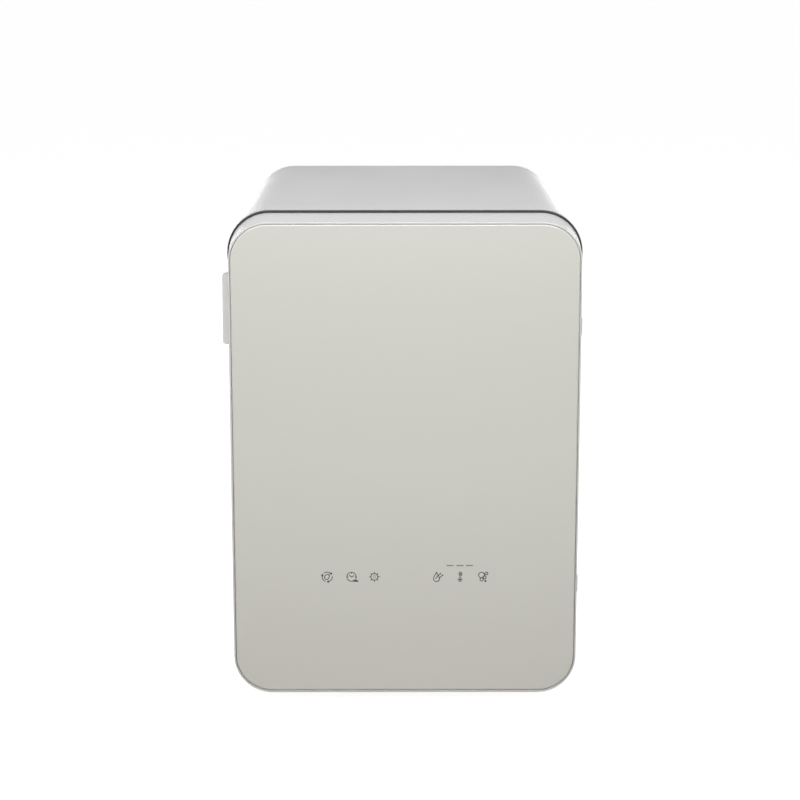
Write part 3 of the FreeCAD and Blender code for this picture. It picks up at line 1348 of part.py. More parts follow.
def door_frame():
    body = new_body("door_frame")
    pad(body, door_section(body, "front", "0"), "edge_band")
    fillet(body, "lip_round", lambda edge, spot: near(spot.y, "front"))
    loft(body, "Additive", door_section(body, "front + edge_band", "0"),
         door_section(body, "door_back - edge_band", "-door_flare"))
    pad(body, door_section(body, "door_back - edge_band", "-door_flare"), "edge_band")
    fillet(body, "door_back_round", lambda edge, spot: near(spot.y, "door_back"))
    pocket(body, door_section(body, "front", "lip_width"), "glass_sink + glass_thick")
    pocket(body, door_section(body, "glass_back", "lip_width + shelf_width"), "shelf_thick")
    pocket(body, door_section(body, "shelf_back", "door_wall"), "door_back - shelf_back")
    boss_edge = "axis_across - bush_width"
    reach = "(notch_height / 2 + bush_length + boss_floor)"
    bosses = sketch(body, "YZ", boss_edge)
    notches = sketch(body, "YZ", "notch_left")
    for level in HINGES:
        rectangle(bosses, "axis_front - bush_width", "axis_front + bush_width",
                  f"{level} - {reach}", f"{level} + {reach}")
        rectangle(notches, "axis_front - eye_round - notch_room", "door_back + overcut",
                  f"{level} - notch_height / 2", f"{level} + notch_height / 2")
    pad(body, bosses, f"door_width / 2 - boss_inset - ({boss_edge})")
    pocket(body, notches, "door_width / 2 + 2 * door_flare - notch_left")
    for level in HINGES:
        bore = sketch(body, "XY", f"{level} - {reach}")
        circle(bore, "bush_width", "axis_across", "axis_front")
        pocket(body, bore, f"2 * {reach}")
    pegs = sketch(body, "XZ", "shelf_back")
    for across, up in PEG_SPOTS:
        circle(pegs, "peg_width", across, up)
    pad(body, pegs, "door_back - panel_thick - shelf_back")
    holes = sketch(body, "XZ", "door_back - panel_thick")
    for across, up in PEG_SPOTS:
        circle(holes, "screw_width", across, up)
    pocket(body, holes, "screw_bite + hole_spare", forward=False)
    slot = sketch(body, "YZ", "-door_width / 2 - door_flare - overcut")
    rectangle(slot, "front + handle_back", "front + handle_back + handle_depth",
              "handle_low", "handle_low + handle_height")
    pocket(body, slot, "door_wall + door_flare + 2 * overcut")


def door_glass():
    body = new_body("door_glass")
    pad(body, door_section(body, "front + glass_sink", "lip_width + fit_gap"), "glass_thick")
    fillet(body, "glass_round", lambda edge, spot: near(spot.y, "front + glass_sink"))


def door_handle():
    """A grip that passes through the door's side wall and is held by a flange inside."""
    body = new_body("door_handle")
    low = "handle_low"
    tip = "-(door_width / 2 + handle_reach)"
    inside = "-(door_width / 2 - door_wall)"
    front_face = "front + handle_back"
    back_face = f"{front_face} + handle_depth"
    plan = sketch(body, "XY", low)
    polygon(plan, ((tip, f"{front_face} + handle_bevel"), (inside, front_face), (inside, back_face),
                   ("-(door_width / 2 + door_flare)", back_face),
                   (f"{tip} + handle_bevel", f"{back_face} - handle_scoop + handle_bevel"),
                   (tip, f"{back_face} - handle_scoop")))
    pad(body, plan, "handle_height")
    fillet(body, "handle_round", lambda edge, spot: spot.x < number(f"{tip} + handle_round")
           and not near(spot.z, f"{low} + handle_height / 2"))
    flange = sketch(body, "YZ", inside)
    rectangle(flange, f"{front_face} - handle_flange", f"{back_face} + handle_flange",
              f"{low} - handle_flange", f"{low} + handle_height + handle_flange")
    pad(body, flange, "handle_flange")


def door_inner_panel():
    body = new_body("door_inner_panel")
    pad(body, door_section(body, "door_back - panel_thick", "door_wall + fit_gap"), "panel_thick")
    for level in HINGES:
        notch = sketch(body, "XY", f"{level} - notch_height / 2")
        rectangle(notch, "notch_left", "door_width / 2", "door_back - panel_thick", "door_back")
        pocket(body, notch, "notch_height")
    holes = sketch(body, "XZ", "door_back - panel_thick")
    for across, up in PEG_SPOTS:
        circle(holes, "screw_width", across, up)
    pocket(body, holes, "panel_thick")


def chamber_section(body, at, grow):
    made = sketch(body, "XZ", at)
    rounded(made, f"gasket_inner + 2 * ({grow})",
            f"chamber_height + gasket_inner - chamber_width + 2 * ({grow})",
            f"chamber_corner + ({grow})", "0", "chamber_middle")
    return made


def door_seal():
    body = new_body("door_gasket")
    pad(body, chamber_section(body, "door_back", "gasket_width"), "gasket_back - door_back")
    pocket(body, chamber_section(body, "door_back", "0"), "gasket_back - door_back")
    fillet(body, "gasket_round", lambda edge, spot: near(spot.y, "gasket_back"))
    plate = new_body("door_reflector")
    pad(plate, chamber_section(plate, "door_back", "-fit_gap"), "mirror_thick")


def door_screws():
    node("door_screws", group(screw("Y", across, "door_back", up, "panel_thick + screw_bite", towards=-1)
                              for across, up in PEG_SPOTS))


def touch_board():
    board_back = "(glass_back + board_thick)"
    board = block("-touch_length / 2", "touch_length / 2", "glass_back", board_back,
                  "touch_z - touch_height / 2", "touch_z + touch_height / 2")
    parts = [board]
    for place in (-1, 0, 1):
        middle = f"{place} * chip_pitch"
        parts.append(block(f"{middle} - chip_size / 2", f"{middle} + chip_size / 2",
                           board_back, f"{board_back} + chip_tall",
                           "touch_z - chip_size / 2", "touch_z + chip_size / 2"))
    end = "(touch_length / 2 - plug_inset)"
    parts.append(block(f"{end} - plug_length", end, board_back, f"{board_back} + plug_tall",
                       "touch_z - plug_drop", "touch_z - plug_drop + plug_width"))
    node("touch_board", group(parts))


# Making and saving

def build():
    outer_shell()
    front_frame()
    trim_ring()
    chamber_liner()
    base_plate()
    rear_cover()
    feet()
    case_screws()
    rack_runners()
    lamp_set("upper", "lamp_front", "upper_lamp_z", "Z")
    lamp_set("rear", "rear_lamp_y", "rear_lamp_z", "Y")
    for level in ("upper", "lower"):
        rack(level)
    drip_tray()
    for make in (air_duct, heater_core, fan_frame, fan_rotor, fan_motor, air_filter, filter_cover, main_board,
                 board_parts, lamp_ballast, power_inlet, hinge_arms, hinge_pins, hinge_bushes, hinge_screws,
                 latch, interlock, door_frame, door_glass, door_handle, door_inner_panel, door_seal,
                 door_screws, touch_board):
        make()


def check():
    """Stop if any object failed or any sub-part is not a sound solid."""
    doc.recompute()
    for thing in doc.Objects:
        if {"Invalid", "Error"} & set(thing.State):
            raise RuntimeError(f"{thing.Label} ({thing.Name}) failed: {thing.State}")
    for thing in NODES:
        shape = thing.Shape
        if shape.isNull() or not shape.isValid() or not shape.Solids:
            raise RuntimeError(f"{thing.Label} has no sound solid")


def save():
    os.makedirs("parts", exist_ok=True)
    for thing in NODES:
        thing.Shape.exportStep(f"parts/{thing.Label}.step")
        box = thing.Shape.BoundBox
        print(f"{thing.Label:24s} solids {len(thing.Shape.Solids):2d}  volume {thing.Shape.Volume:12.1f}  "
              f"x {box.XMin:8.2f} {box.XMax:8.2f}  y {box.YMin:8.2f} {box.YMax:8.2f}  "
              f"z {box.ZMin:7.2f} {box.ZMax:7.2f}")
    print(f"{len(NODES)} nodes")


build()
check()
save()
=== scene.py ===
import math

import bmesh
import bpy
import numpy as np
from bpy.props import FloatProperty, FloatVectorProperty, IntProperty, PointerProperty
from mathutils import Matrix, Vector


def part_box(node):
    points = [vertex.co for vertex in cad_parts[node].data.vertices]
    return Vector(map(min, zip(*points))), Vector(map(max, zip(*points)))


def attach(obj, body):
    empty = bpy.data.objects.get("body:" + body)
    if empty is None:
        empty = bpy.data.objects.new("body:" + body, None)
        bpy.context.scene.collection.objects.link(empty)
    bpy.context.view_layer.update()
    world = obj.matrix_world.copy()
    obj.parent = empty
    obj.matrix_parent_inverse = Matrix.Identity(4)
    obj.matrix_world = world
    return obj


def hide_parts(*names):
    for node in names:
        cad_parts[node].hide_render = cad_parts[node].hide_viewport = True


# Looks of a bottle steriliser and dryer: the finish of every part, the symbols printed on its glass,
# its seal, filter, lamp coils and screws, and a plain studio.  Metres, +Z up, front towards -Y.

bl_info = {
    "name": "Bottle steriliser looks",
    "version": (1, 0, 0),
    "blender": (4, 5, 0),
    "location": "3D View > Sidebar > Steriliser",
    "description": "Finishes, printed symbols, seal, filter, lamp coils, screws and studio of a bottle steriliser",
    "category": "Object",
}

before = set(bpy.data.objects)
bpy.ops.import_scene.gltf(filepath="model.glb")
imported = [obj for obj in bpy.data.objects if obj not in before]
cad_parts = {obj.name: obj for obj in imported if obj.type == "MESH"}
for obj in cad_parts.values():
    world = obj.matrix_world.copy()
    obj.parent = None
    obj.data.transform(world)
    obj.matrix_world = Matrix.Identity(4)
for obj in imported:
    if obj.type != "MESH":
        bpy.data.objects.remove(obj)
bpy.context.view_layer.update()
MM = 0.001


def linear(*levels):
    """Screen levels from 0 to 255 as the linear values that a shader works in: the sRGB curve."""
    return tuple(level / 3294.6 if level < 11 else ((level / 255 + 0.055) / 1.055) ** 2.4
                 for level in levels)


def corners(node):
    """Lowest and highest corner of a CAD part, as arrays."""
    low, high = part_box(node)
    return np.array(low), np.array(high)


def colour_property(name, description, *levels):
    """A colour to choose, given by its screen levels."""
    return FloatVectorProperty(name=name, description=description, subtype="COLOR", size=3,
                               min=0.0, max=1.0, default=linear(*levels))


def length_property(name, description, default, low, high):
    """A length to choose, in metres."""
    return FloatProperty(name=name, description=description, default=default, min=low, max=high, unit="LENGTH")


def power_property(name, description, default):
    """A lamp's power to choose, in watts."""
    return FloatProperty(name=name, description=description, default=default, min=0, max=500, unit="POWER")


class STERILISER_PG_colours(bpy.types.PropertyGroup):
    """Colours that an owner would choose."""

    case: colour_property("Cabinet", "White plastic of the cabinet", 232, 232, 232)
    door: colour_property("Door frame", "White plastic of the door frame", 236, 237, 238)
    # The handle's white is set above the door frame's partly as painted light: it brightens a handle that the
    # lamps and the groove beside it leave dim.
    handle: colour_property("Handle", "White plastic of the handle", 251, 251, 249)
    glass: colour_property("Front glass", "Paint behind the front glass", 227, 228, 221)
    ink: colour_property("Symbols", "Printed lines of the touch symbols", 62, 61, 58)
    faint_ink: colour_property("Faint symbols", "Printed areas in a lighter grey", 140, 138, 134)
    # Part of the ring's near-black brown is painted shade: it stands for the ring's dark rubber and also for the
    # shadow in the gap between door and cabinet.
    trim: colour_property("Dark ring", "Ring between the door and the cabinet", 46, 40, 38)
    steel: colour_property("Steel", "Stainless steel of the chamber", 205, 205, 203)
    seal: colour_property("Seal", "Silicone seal of the door", 176, 178, 180)
    board: colour_property("Circuit board", "Solder mask of the circuit boards", 28, 92, 58)


class STERILISER_PG_print(bpy.types.PropertyGroup):
    """Sizes of the symbols printed on the front glass."""

    line: length_property("Line width", "Width of a printed line", 0.72 * MM, 0.2 * MM, 2 * MM)
    height: length_property("Height", "Middle of the symbols above the door's lower edge",
                            103.1 * MM, 20 * MM, 300 * MM)
    ink: length_property("Ink thickness", "How far the ink stands off the glass",
                         0.05 * MM, 0.01 * MM, 0.2 * MM)


class STERILISER_PG_details(bpy.types.PropertyGroup):
    """Sizes of the smaller modelled parts."""

    pleats: IntProperty(name="Filter pleats", description="Folds of the air filter", default=22, min=4, max=60)
    coil_turns: IntProperty(name="Coil turns", description="Turns of each lamp's heating coil", default=9,
                            min=3, max=20)
    spring_turns: IntProperty(name="Spring turns", description="Turns of the interlock's spring", default=7,
                              min=3, max=20)
    recess: length_property("Screw recess", "Depth of the cross in a screw head",
                            0.9 * MM, 0.2 * MM, 1.4 * MM)


class STERILISER_PG_studio(bpy.types.PropertyGroup):
    """Camera and lamps."""

    distance: length_property("Camera distance", "Camera in front of the cabinet's middle", 2.1115, 0.5, 10)
    height: length_property("Camera height", "Camera above the floor", 0.753, 0, 5)
    across: length_property("Camera offset", "Camera to the side of the cabinet's middle", -0.0096, -2, 2)
    tilt: FloatProperty(name="Camera tilt", description="Camera's turn up from straight down",
                        default=math.radians(75.78), min=0, max=math.pi, unit="ROTATION")
    pan: FloatProperty(name="Camera pan", description="Camera's turn about the upright",
                       default=math.radians(-0.16), min=-math.pi, max=math.pi, unit="ROTATION")
    lens: FloatProperty(name="Focal length", description="Camera lens on a 36 mm sensor", default=110.3,
                        min=10, max=400, unit="CAMERA")
    key: power_property("Key lamp", "Power of the large lamp in front", 10.7)
    fill: power_property("Low lamps", "Power of each lamp beside and behind", 3.4)
    top: power_property("Top lamp", "Power of the lamp overhead", 2.7)
    sky: FloatProperty(name="Room light", description="Strength of the light from all round", default=0.04,
                       min=0, max=2)


# Node trees

def add(tree, kind, inputs=None, **settings):
    """A node of the tree.  Each input is a value for its socket, or an output to join to it."""
    made = tree.nodes.new("ShaderNode" + kind)
    for name, value in settings.items():
        setattr(made, name, value)
    for name, value in (inputs or {}).items():
        if isinstance(value, bpy.types.NodeSocket):
            tree.links.new(value, made.inputs[name])
        else:
            made.inputs[name].default_value = value
    return made


def maths(tree, operation, first, second):
    """The result of an operation on two values."""
    made = add(tree, "Math", {0: first, 1: second}, operation=operation)
    return made.outputs[0]


def noise(tree, vector, scale, detail=2.0, roughness=0.5, distortion=0.0):
    """Cloudy noise over a vector, from 0 to 1 around 0.5."""
    made = add(tree, "TexNoise", {"Vector": vector, "Scale": scale, "Detail": detail,
                                  "Roughness": roughness, "Distortion": distortion})
    return made.outputs[0]


def spread(tree, value, low, high, start=0.0, end=1.0):
    """The value's stretch from start to end, carried to low ... high and held there outside it."""
    made = add(tree, "MapRange", {"Value": value, "From Min": start, "From Max": end,
                                  "To Min": low, "To Max": high})
    return made.outputs[0]


def blend(tree, factor, first, second):
    """A colour between two, each a socket or three linear values."""
    values = [value if isinstance(value, bpy.types.NodeSocket) else (*value, 1.0)
              for value in (first, second)]
    made = add(tree, "Mix", {0: factor, 6: values[0], 7: values[1]}, data_type="RGBA")
    return made.outputs[2]


def group_tree(name, inputs, outputs):
    """An empty node group with named sockets: the tree, its inputs' outputs and its outputs' inputs."""
    tree = bpy.data.node_groups.new(name, "ShaderNodeTree")
    for direction, sockets in (("INPUT", inputs), ("OUTPUT", outputs)):
        for label, kind in sockets:
            tree.interface.new_socket(label, in_out=direction, socket_type="NodeSocket" + kind)
    start = tree.nodes.new("NodeGroupInput")
    end = tree.nodes.new("NodeGroupOutput")
    return tree, start.outputs, end.inputs


def moulded_grain_group():
    """Fine texture of a moulding and the slow unevenness of its colour and gloss."""
    tree, given, wanted = group_tree("Moulded grain",
                                     (("Vector", "Vector"), ("Grain", "Float"), ("Mottle", "Float")),
                                     (("Height", "Float"), ("Unevenness", "Float")))
    fine = noise(tree, given["Vector"], given["Grain"], 3.0, 0.62)
    pits = add(tree, "TexVoronoi", {"Vector": given["Vector"], "Scale": given["Grain"]},
               feature="SMOOTH_F1")
    slow = noise(tree, given["Vector"], given["Mottle"], 4.0, 0.55, 0.4)
    height = maths(tree, "ADD", fine, maths(tree, "MULTIPLY", pits.outputs["Distance"], 0.5))
    tree.links.new(height, wanted["Height"])
    tree.links.new(slow, wanted["Unevenness"])
    return tree


def brushed_group():
    """Long fine lines of a brushed or drawn metal, with a few deeper scratches.

    The vector that comes in is already stretched along the lines.
    """
    tree, given, wanted = group_tree("Brushed lines", (("Vector", "Vector"),),
                                     (("Height", "Float"), ("Streak", "Float"), ("Scratch", "Float")))
    lines = noise(tree, given["Vector"], 1.0, 4.0, 0.7)
    bands = noise(tree, given["Vector"], 0.17)
    marks = noise(tree, given["Vector"], 0.53, 0.0, 0.5, 0.8)
    scratch = spread(tree, marks, 0.0, 1.0, 0.70, 0.76)
    height = maths(tree, "SUBTRACT", lines, maths(tree, "MULTIPLY", scratch, 0.6))
    tree.links.new(height, wanted["Height"])
    tree.links.new(bands, wanted["Streak"])
    tree.links.new(scratch, wanted["Scratch"])
    return tree


def soft_edge_group():
    """A small rounding of sharp edges, and a mask of where it lies."""
    tree, given, wanted = group_tree("Soft edge", (("Radius", "Float"),),
                                     (("Normal", "Vector"), ("Mask", "Float")))
    rounding = add(tree, "Bevel", {"Radius": given["Radius"]}, samples=6)
    flat = add(tree, "NewGeometry")
    facing = add(tree, "VectorMath", {0: rounding.outputs[0], 1: flat.outputs["Normal"]},
                 operation="DOT_PRODUCT")
    tree.links.new(rounding.outputs[0], wanted["Normal"])
    tree.links.new(spread(tree, facing.outputs["Value"], 1.0, 0.0, 0.80, 0.995), wanted["Mask"])
    return tree


def handling_group():
    """Faint smears left by hands and cloths."""
    tree, given, wanted = group_tree("Handling marks", (("Vector", "Vector"), ("Scale", "Float")),
                                     (("Mask", "Float"),))
    warp = noise(tree, given["Vector"], given["Scale"], 5.0, 0.65, 1.6)
    tree.links.new(spread(tree, warp, 0.0, 1.0, 0.48, 0.72), wanted["Mask"])
    return tree


def shared_group(name):
    """The node group of that name, built when it is first asked for."""
    makers = {"Moulded grain": moulded_grain_group, "Brushed lines": brushed_group,
              "Soft edge": soft_edge_group, "Handling marks": handling_group}
    return bpy.data.node_groups.get(name) or makers[name]()


def use(tree, name, inputs):
    """A shared effect placed in a material with values of its own."""
    made = tree.nodes.new("ShaderNodeGroup")
    made.node_tree = shared_group(name)
    for label, value in inputs.items():
        if isinstance(value, bpy.types.NodeSocket):
            tree.links.new(value, made.inputs[label])
        else:
            made.inputs[label].default_value = value
    return made.outputs


# Materials

def new_material(name, **fixed):
    """A material with one Principled shader whose given sockets are set.

    Gives the material, its node tree, the shader and the object coordinates.
    """
    made = bpy.data.materials.new(name)
    made.use_nodes = True
    tree = made.node_tree
    tree.nodes.clear()
    shader = add(tree, "BsdfPrincipled", {key.replace("_", " "): value for key, value in fixed.items()})
    add(tree, "OutputMaterial", {"Surface": shader.outputs[0]})
    place = add(tree, "TexCoord").outputs["Object"]
    return made, tree, shader, place


def feed(tree, shader, **sources):
    """Join each output to the shader's socket of that name."""
    for name, source in sources.items():
        tree.links.new(source, shader.inputs[name.replace("_", " ")])


def bumped(tree, height, depth, normal, strength=1.0):
    """The normal after a relief of that depth in metres."""
    made = add(tree, "Bump", {"Height": height, "Distance": depth, "Strength": strength, "Normal": normal})
    return made.outputs[0]


def moulding(name, colour, gloss, grain=2600.0, depth=0.012 * MM, edge=0.25 * MM, shift=0.035, **fixed):
    """Moulded plastic or rubber: fine grain, softened edges that catch the light and carry a painted highlight,
    and a slow change of tone.

    gloss is the roughness, grain its spots per metre, depth their relief, edge the radius of the soft
    edges and shift the share by which the tone changes; the painted highlight on the edges is one and a half times
    that share lighter.
    """
    made, tree, shader, place = new_material(name, **fixed)
    grained = use(tree, "Moulded grain", {"Vector": place, "Grain": grain, "Mottle": 9.0})
    edged = use(tree, "Soft edge", {"Radius": edge})
    touched = use(tree, "Handling marks", {"Vector": place, "Scale": 17.0})
    darker = tuple(level * (1 - shift) for level in colour)
    painted_highlight_tone = tuple(min(1.0, level * (1 + 1.5 * shift)) for level in colour)
    toned = blend(tree, grained["Unevenness"], darker, colour)
    # Painted highlight: along the soft edges the colour is lightened half way towards a lighter tone, whatever the
    # lamps.
    tone_with_painted_highlight = blend(tree, maths(tree, "MULTIPLY", edged["Mask"], 0.5), toned, painted_highlight_tone)
    rough = maths(tree, "ADD", spread(tree, grained["Unevenness"], gloss - 0.04, gloss + 0.05, 0.3, 0.7),
                  maths(tree, "MULTIPLY", touched["Mask"], 0.05))
    feed(tree, shader, Base_Color=tone_with_painted_highlight, Roughness=rough,
         Normal=bumped(tree, grained["Height"], depth, edged["Normal"]))
    return made


def sheet_metal(name, colour, gloss, lines=(25.0, 2600.0, 2600.0), depth=0.004 * MM):
    """Brushed or drawn metal.  lines gives how often the pattern changes per metre along x, y and z."""
    made, tree, shader, place = new_material(name, Metallic=1.0)
    stretched = add(tree, "Mapping", {"Vector": place, "Scale": lines}).outputs[0]
    brushed = use(tree, "Brushed lines", {"Vector": stretched})
    edged = use(tree, "Soft edge", {"Radius": 0.2 * MM})
    touched = use(tree, "Handling marks", {"Vector": place, "Scale": 11.0})
    toned = blend(tree, brushed["Streak"], tuple(level * 0.92 for level in colour), colour)
    scored = blend(tree, maths(tree, "MULTIPLY", brushed["Scratch"], 0.25), toned,
                   tuple(min(1.0, level * 1.2) for level in colour))
    rough = maths(tree, "ADD", spread(tree, brushed["Streak"], gloss - 0.05, gloss + 0.07, 0.3, 0.7),
                  maths(tree, "MULTIPLY", touched["Mask"], 0.06))
    feed(tree, shader, Base_Color=scored, Roughness=rough,
         Normal=bumped(tree, brushed["Height"], depth, edged["Normal"]))
    return made


def painted_glass(colours):
    """Clear toughened glass over a pale coat of paint: deep gloss, faint smears, a very slow waviness."""
    made, tree, shader, place = new_material("Painted glass", Coat_Roughness=0.04, Coat_IOR=1.52, IOR=1.5)
    wave = noise(tree, place, 5.0, 1.0)
    speck = noise(tree, place, 3400.0)
    touched = use(tree, "Handling marks", {"Vector": place, "Scale": 7.0})
    edged = use(tree, "Soft edge", {"Radius": 0.15 * MM})
    colour = tuple(colours.glass)
    toned = blend(tree, wave, tuple(level * 0.985 for level in colour), colour)
    flecked = blend(tree, spread(tree, speck, 0.0, 0.06, 0.55, 0.8), toned, (0.92, 0.93, 0.90))
    feed(tree, shader, Base_Color=flecked, Roughness=spread(tree, touched["Mask"], 0.30, 0.32),
         Coat_Weight=spread(tree, touched["Mask"], 1.0, 0.97),
         Normal=bumped(tree, wave, 0.01 * MM, edged["Normal"], 0.2))
    return made


def tube_glass():
    """Clear tube glass with faint draw lines."""
    made, tree, shader, place = new_material("Lamp glass", IOR=1.47, Transmission_Weight=1.0)
    stretched = add(tree, "Mapping", {"Vector": place, "Scale": (20.0, 900.0, 900.0)}).outputs[0]
    brushed = use(tree, "Brushed lines", {"Vector": stretched})
    flat = add(tree, "NewGeometry").outputs["Normal"]
    feed(tree, shader, Base_Color=blend(tree, brushed["Streak"], (0.93, 0.96, 1.0), (1.0, 1.0, 1.0)),
         Roughness=spread(tree, brushed["Streak"], 0.03, 0.08),
         Normal=bumped(tree, brushed["Height"], 0.002 * MM, flat))
    return made


def ink(name, colour):
    """Screen print: matt, with the slight mottle of a thin layer."""
    made, tree, shader, place = new_material(name, IOR=1.45)
    dots = noise(tree, place, 5200.0)
    slow = noise(tree, place, 700.0)
    flat = add(tree, "NewGeometry").outputs["Normal"]
    feed(tree, shader,
         Base_Color=blend(tree, spread(tree, slow, 0.0, 0.5, 0.4, 0.7), colour,
                          tuple(level * 1.5 for level in colour)),
         Roughness=spread(tree, dots, 0.42, 0.6, 0.3, 0.7),
         Normal=bumped(tree, dots, 0.006 * MM, flat))
    return made


def circuit_board(colours):
    """Solder mask over copper tracks that run in level and upright lanes, with a few tinned pads."""
    made, tree, shader, place = new_material("Circuit board", IOR=1.5, Coat_Roughness=0.2)
    lanes = add(tree, "TexBrick", {"Vector": place, "Scale": 90.0, "Mortar Size": 0.03,
                                   "Brick Width": 1.4, "Row Height": 0.28},
                offset=0.37, offset_frequency=3)
    pads = add(tree, "TexVoronoi", {"Vector": place, "Scale": 210.0, "Randomness": 0.35})
    edged = use(tree, "Soft edge", {"Radius": 0.1 * MM})
    grained = use(tree, "Moulded grain", {"Vector": place, "Grain": 3000.0, "Mottle": 30.0})
    pad = spread(tree, pads.outputs["Distance"], 1.0, 0.0, 0.10, 0.13)
    mask = tuple(colours.board)
    tracks = blend(tree, lanes.outputs["Fac"], mask, tuple(level * 1.7 + 0.01 for level in mask))
    shaded = blend(tree, spread(tree, grained["Unevenness"], 0.0, 0.3), tracks,
                   tuple(level * 0.6 for level in mask))
    feed(tree, shader, Base_Color=blend(tree, pad, shaded, linear(198, 196, 188)),
         Metallic=maths(tree, "MULTIPLY", pad, 0.9), Roughness=spread(tree, pad, 0.34, 0.28),
         Coat_Weight=spread(tree, pad, 0.5, 0.0),
         Normal=bumped(tree, lanes.outputs["Fac"], 0.02 * MM, edged["Normal"], 0.6))
    return made


def filter_fibre():
    """Matted white fibre: tangled strands in three sizes."""
    made, tree, shader, place = new_material("Filter fibre", IOR=1.45)
    strands = noise(tree, place, 900.0, 6.0, 0.7, 2.5)
    clumps = noise(tree, place, 60.0, 3.0)
    flat = add(tree, "NewGeometry").outputs["Normal"]
    toned = blend(tree, clumps, linear(206, 205, 198), linear(236, 236, 232))
    feed(tree, shader, Base_Color=blend(tree, spread(tree, strands, 0.25, 0.0, 0.3, 0.6), toned,
                                        linear(150, 149, 142)),
         Roughness=spread(tree, strands, 0.82, 0.98),
         Normal=bumped(tree, strands, 0.15 * MM, flat))
    return made


def finishes(colours):
    """Every finish of the machine under the name of its material slot.

    A metal's lines run across the machine unless another run is given.
    """
    case, door, steel = tuple(colours.case), tuple(colours.door), tuple(colours.steel)
    on_walls, deep, upright = (25.0, 25.0, 2600.0), (2600.0, 25.0, 2600.0), (2600.0, 2600.0, 25.0)
    return {
        "shell_white": moulding("Cabinet white", case, gloss=0.34),
        "frame_white": moulding("Face frame white", case, gloss=0.40),
        "rear_white": moulding("Rear cover white", case, gloss=0.46, grain=1500.0, depth=0.03 * MM),
        "door_white": moulding("Door frame white", door, gloss=0.27, depth=0.006 * MM),
        # Partly painted light: the handle's colour is lifted above the door frame's to brighten it.
        "handle_white": moulding("Handle white", tuple(colours.handle), gloss=0.30, depth=0.008 * MM),
        "door_glass": painted_glass(colours),
        # Partly painted shade: the ring's darkness also stands for the shadow in the gap around the door.
        "trim_dark": moulding("Dark ring", tuple(colours.trim), gloss=0.32, shift=0.15, edge=0.4 * MM),
        "seal_grey": moulding("Silicone seal", tuple(colours.seal), gloss=0.58, grain=900.0, depth=0.03 * MM,
                              Subsurface_Weight=0.08, Subsurface_Radius=(0.002, 0.002, 0.002)),
        "chamber_steel": sheet_metal("Chamber steel", steel, gloss=0.29, lines=on_walls),
        "runner_steel": sheet_metal("Runner steel", steel, gloss=0.30, lines=deep),
        "guard_steel": sheet_metal("Guard steel", steel, gloss=0.24),
        "mirror_steel": sheet_metal("Polished steel", linear(222, 222, 222), gloss=0.12, depth=0.001 * MM),
        "rack_wire": sheet_metal("Rack wire", linear(212, 212, 210), gloss=0.17,
                                 lines=(400.0, 400.0, 400.0), depth=0.003 * MM),
        "tray_steel": sheet_metal("Tray steel", steel, gloss=0.25),
        "lamp_glass": tube_glass(),
        "lamp_cap": sheet_metal("Lamp cap", linear(196, 197, 198), gloss=0.33, lines=(2600.0, 60.0, 60.0)),
        "holder_white": moulding("Lamp holder", linear(228, 226, 220), gloss=0.45),
        "duct_grey": moulding("Air duct", linear(96, 98, 101), gloss=0.52, shift=0.08),
        "heater_fins": sheet_metal("Heater fins", linear(186, 184, 180), gloss=0.38, lines=upright),
        "fan_black": moulding("Fan black", linear(36, 36, 38), gloss=0.42, shift=0.12),
        "motor_case": sheet_metal("Motor case", linear(160, 161, 164), gloss=0.36, lines=(60.0, 2600.0, 60.0)),
        "filter_fibre": filter_fibre(),
        "board_green": circuit_board(colours),
        "part_black": moulding("Component black", linear(30, 30, 32), gloss=0.40, grain=1800.0, shift=0.12),
        "ballast_case": sheet_metal("Ballast case", linear(188, 190, 192), gloss=0.42, lines=upright),
        "inlet_black": moulding("Inlet black", linear(26, 26, 28), gloss=0.38, shift=0.12),
        "hinge_white": moulding("Hinge powder coat", case, gloss=0.42, grain=1800.0, depth=0.02 * MM),
        "screw_steel": sheet_metal("Screw steel", linear(188, 188, 190), gloss=0.26,
                                   lines=(700.0, 700.0, 700.0)),
        "bush_nylon": moulding("Nylon bush", linear(224, 222, 210), gloss=0.48, Subsurface_Weight=0.1,
                               Subsurface_Radius=(0.001, 0.001, 0.001)),
        "magnet_nickel": sheet_metal("Nickel plate", linear(206, 203, 196), gloss=0.16,
                                     lines=(500.0, 500.0, 500.0)),
        "foot_rubber": moulding("Foot rubber", linear(58, 58, 60), gloss=0.66, grain=1300.0,
                                depth=0.05 * MM, shift=0.15),
        "ink": ink("Symbol ink", tuple(colours.ink)),
        "faint_ink": ink("Faint symbol ink", tuple(colours.faint_ink)),
        "coil_wire": sheet_metal("Coil wire", linear(120, 118, 116), gloss=0.42, lines=(900.0, 900.0, 900.0)),
        "filter_border": moulding("Filter border", linear(214, 213, 206), gloss=0.62, grain=1200.0,
                                  depth=0.04 * MM),
    }


FINISH_NAMES = {}


def finish(name):
    """A finish that the finishes operator has made."""
    return bpy.data.materials[FINISH_NAMES[name]]


# Surfaces

def quads(rows, columns, close_rows=False, close_columns=False):
    """Faces of a grid of points numbered row by row.

    A closed direction joins its last line to its first.
    """
    down = np.arange(rows if close_rows else rows - 1)
    along = np.arange(columns if close_columns else columns - 1)
    first, second = np.meshgrid(down, along, indexing="ij")
    below, beside = (first + 1) % rows, (second + 1) % columns
    corners_of = [first * columns + second, first * columns + beside,
                  below * columns + beside, below * columns + second]
    return np.stack(corners_of, axis=-1).reshape(-1, 4)


def grid_piece(points, close_rows=False, close_columns=False):
    """Points in rows and columns, and the faces between them."""
    rows, columns = points.shape[:2]
    return points.reshape(-1, 3), quads(rows, columns, close_rows, close_columns)


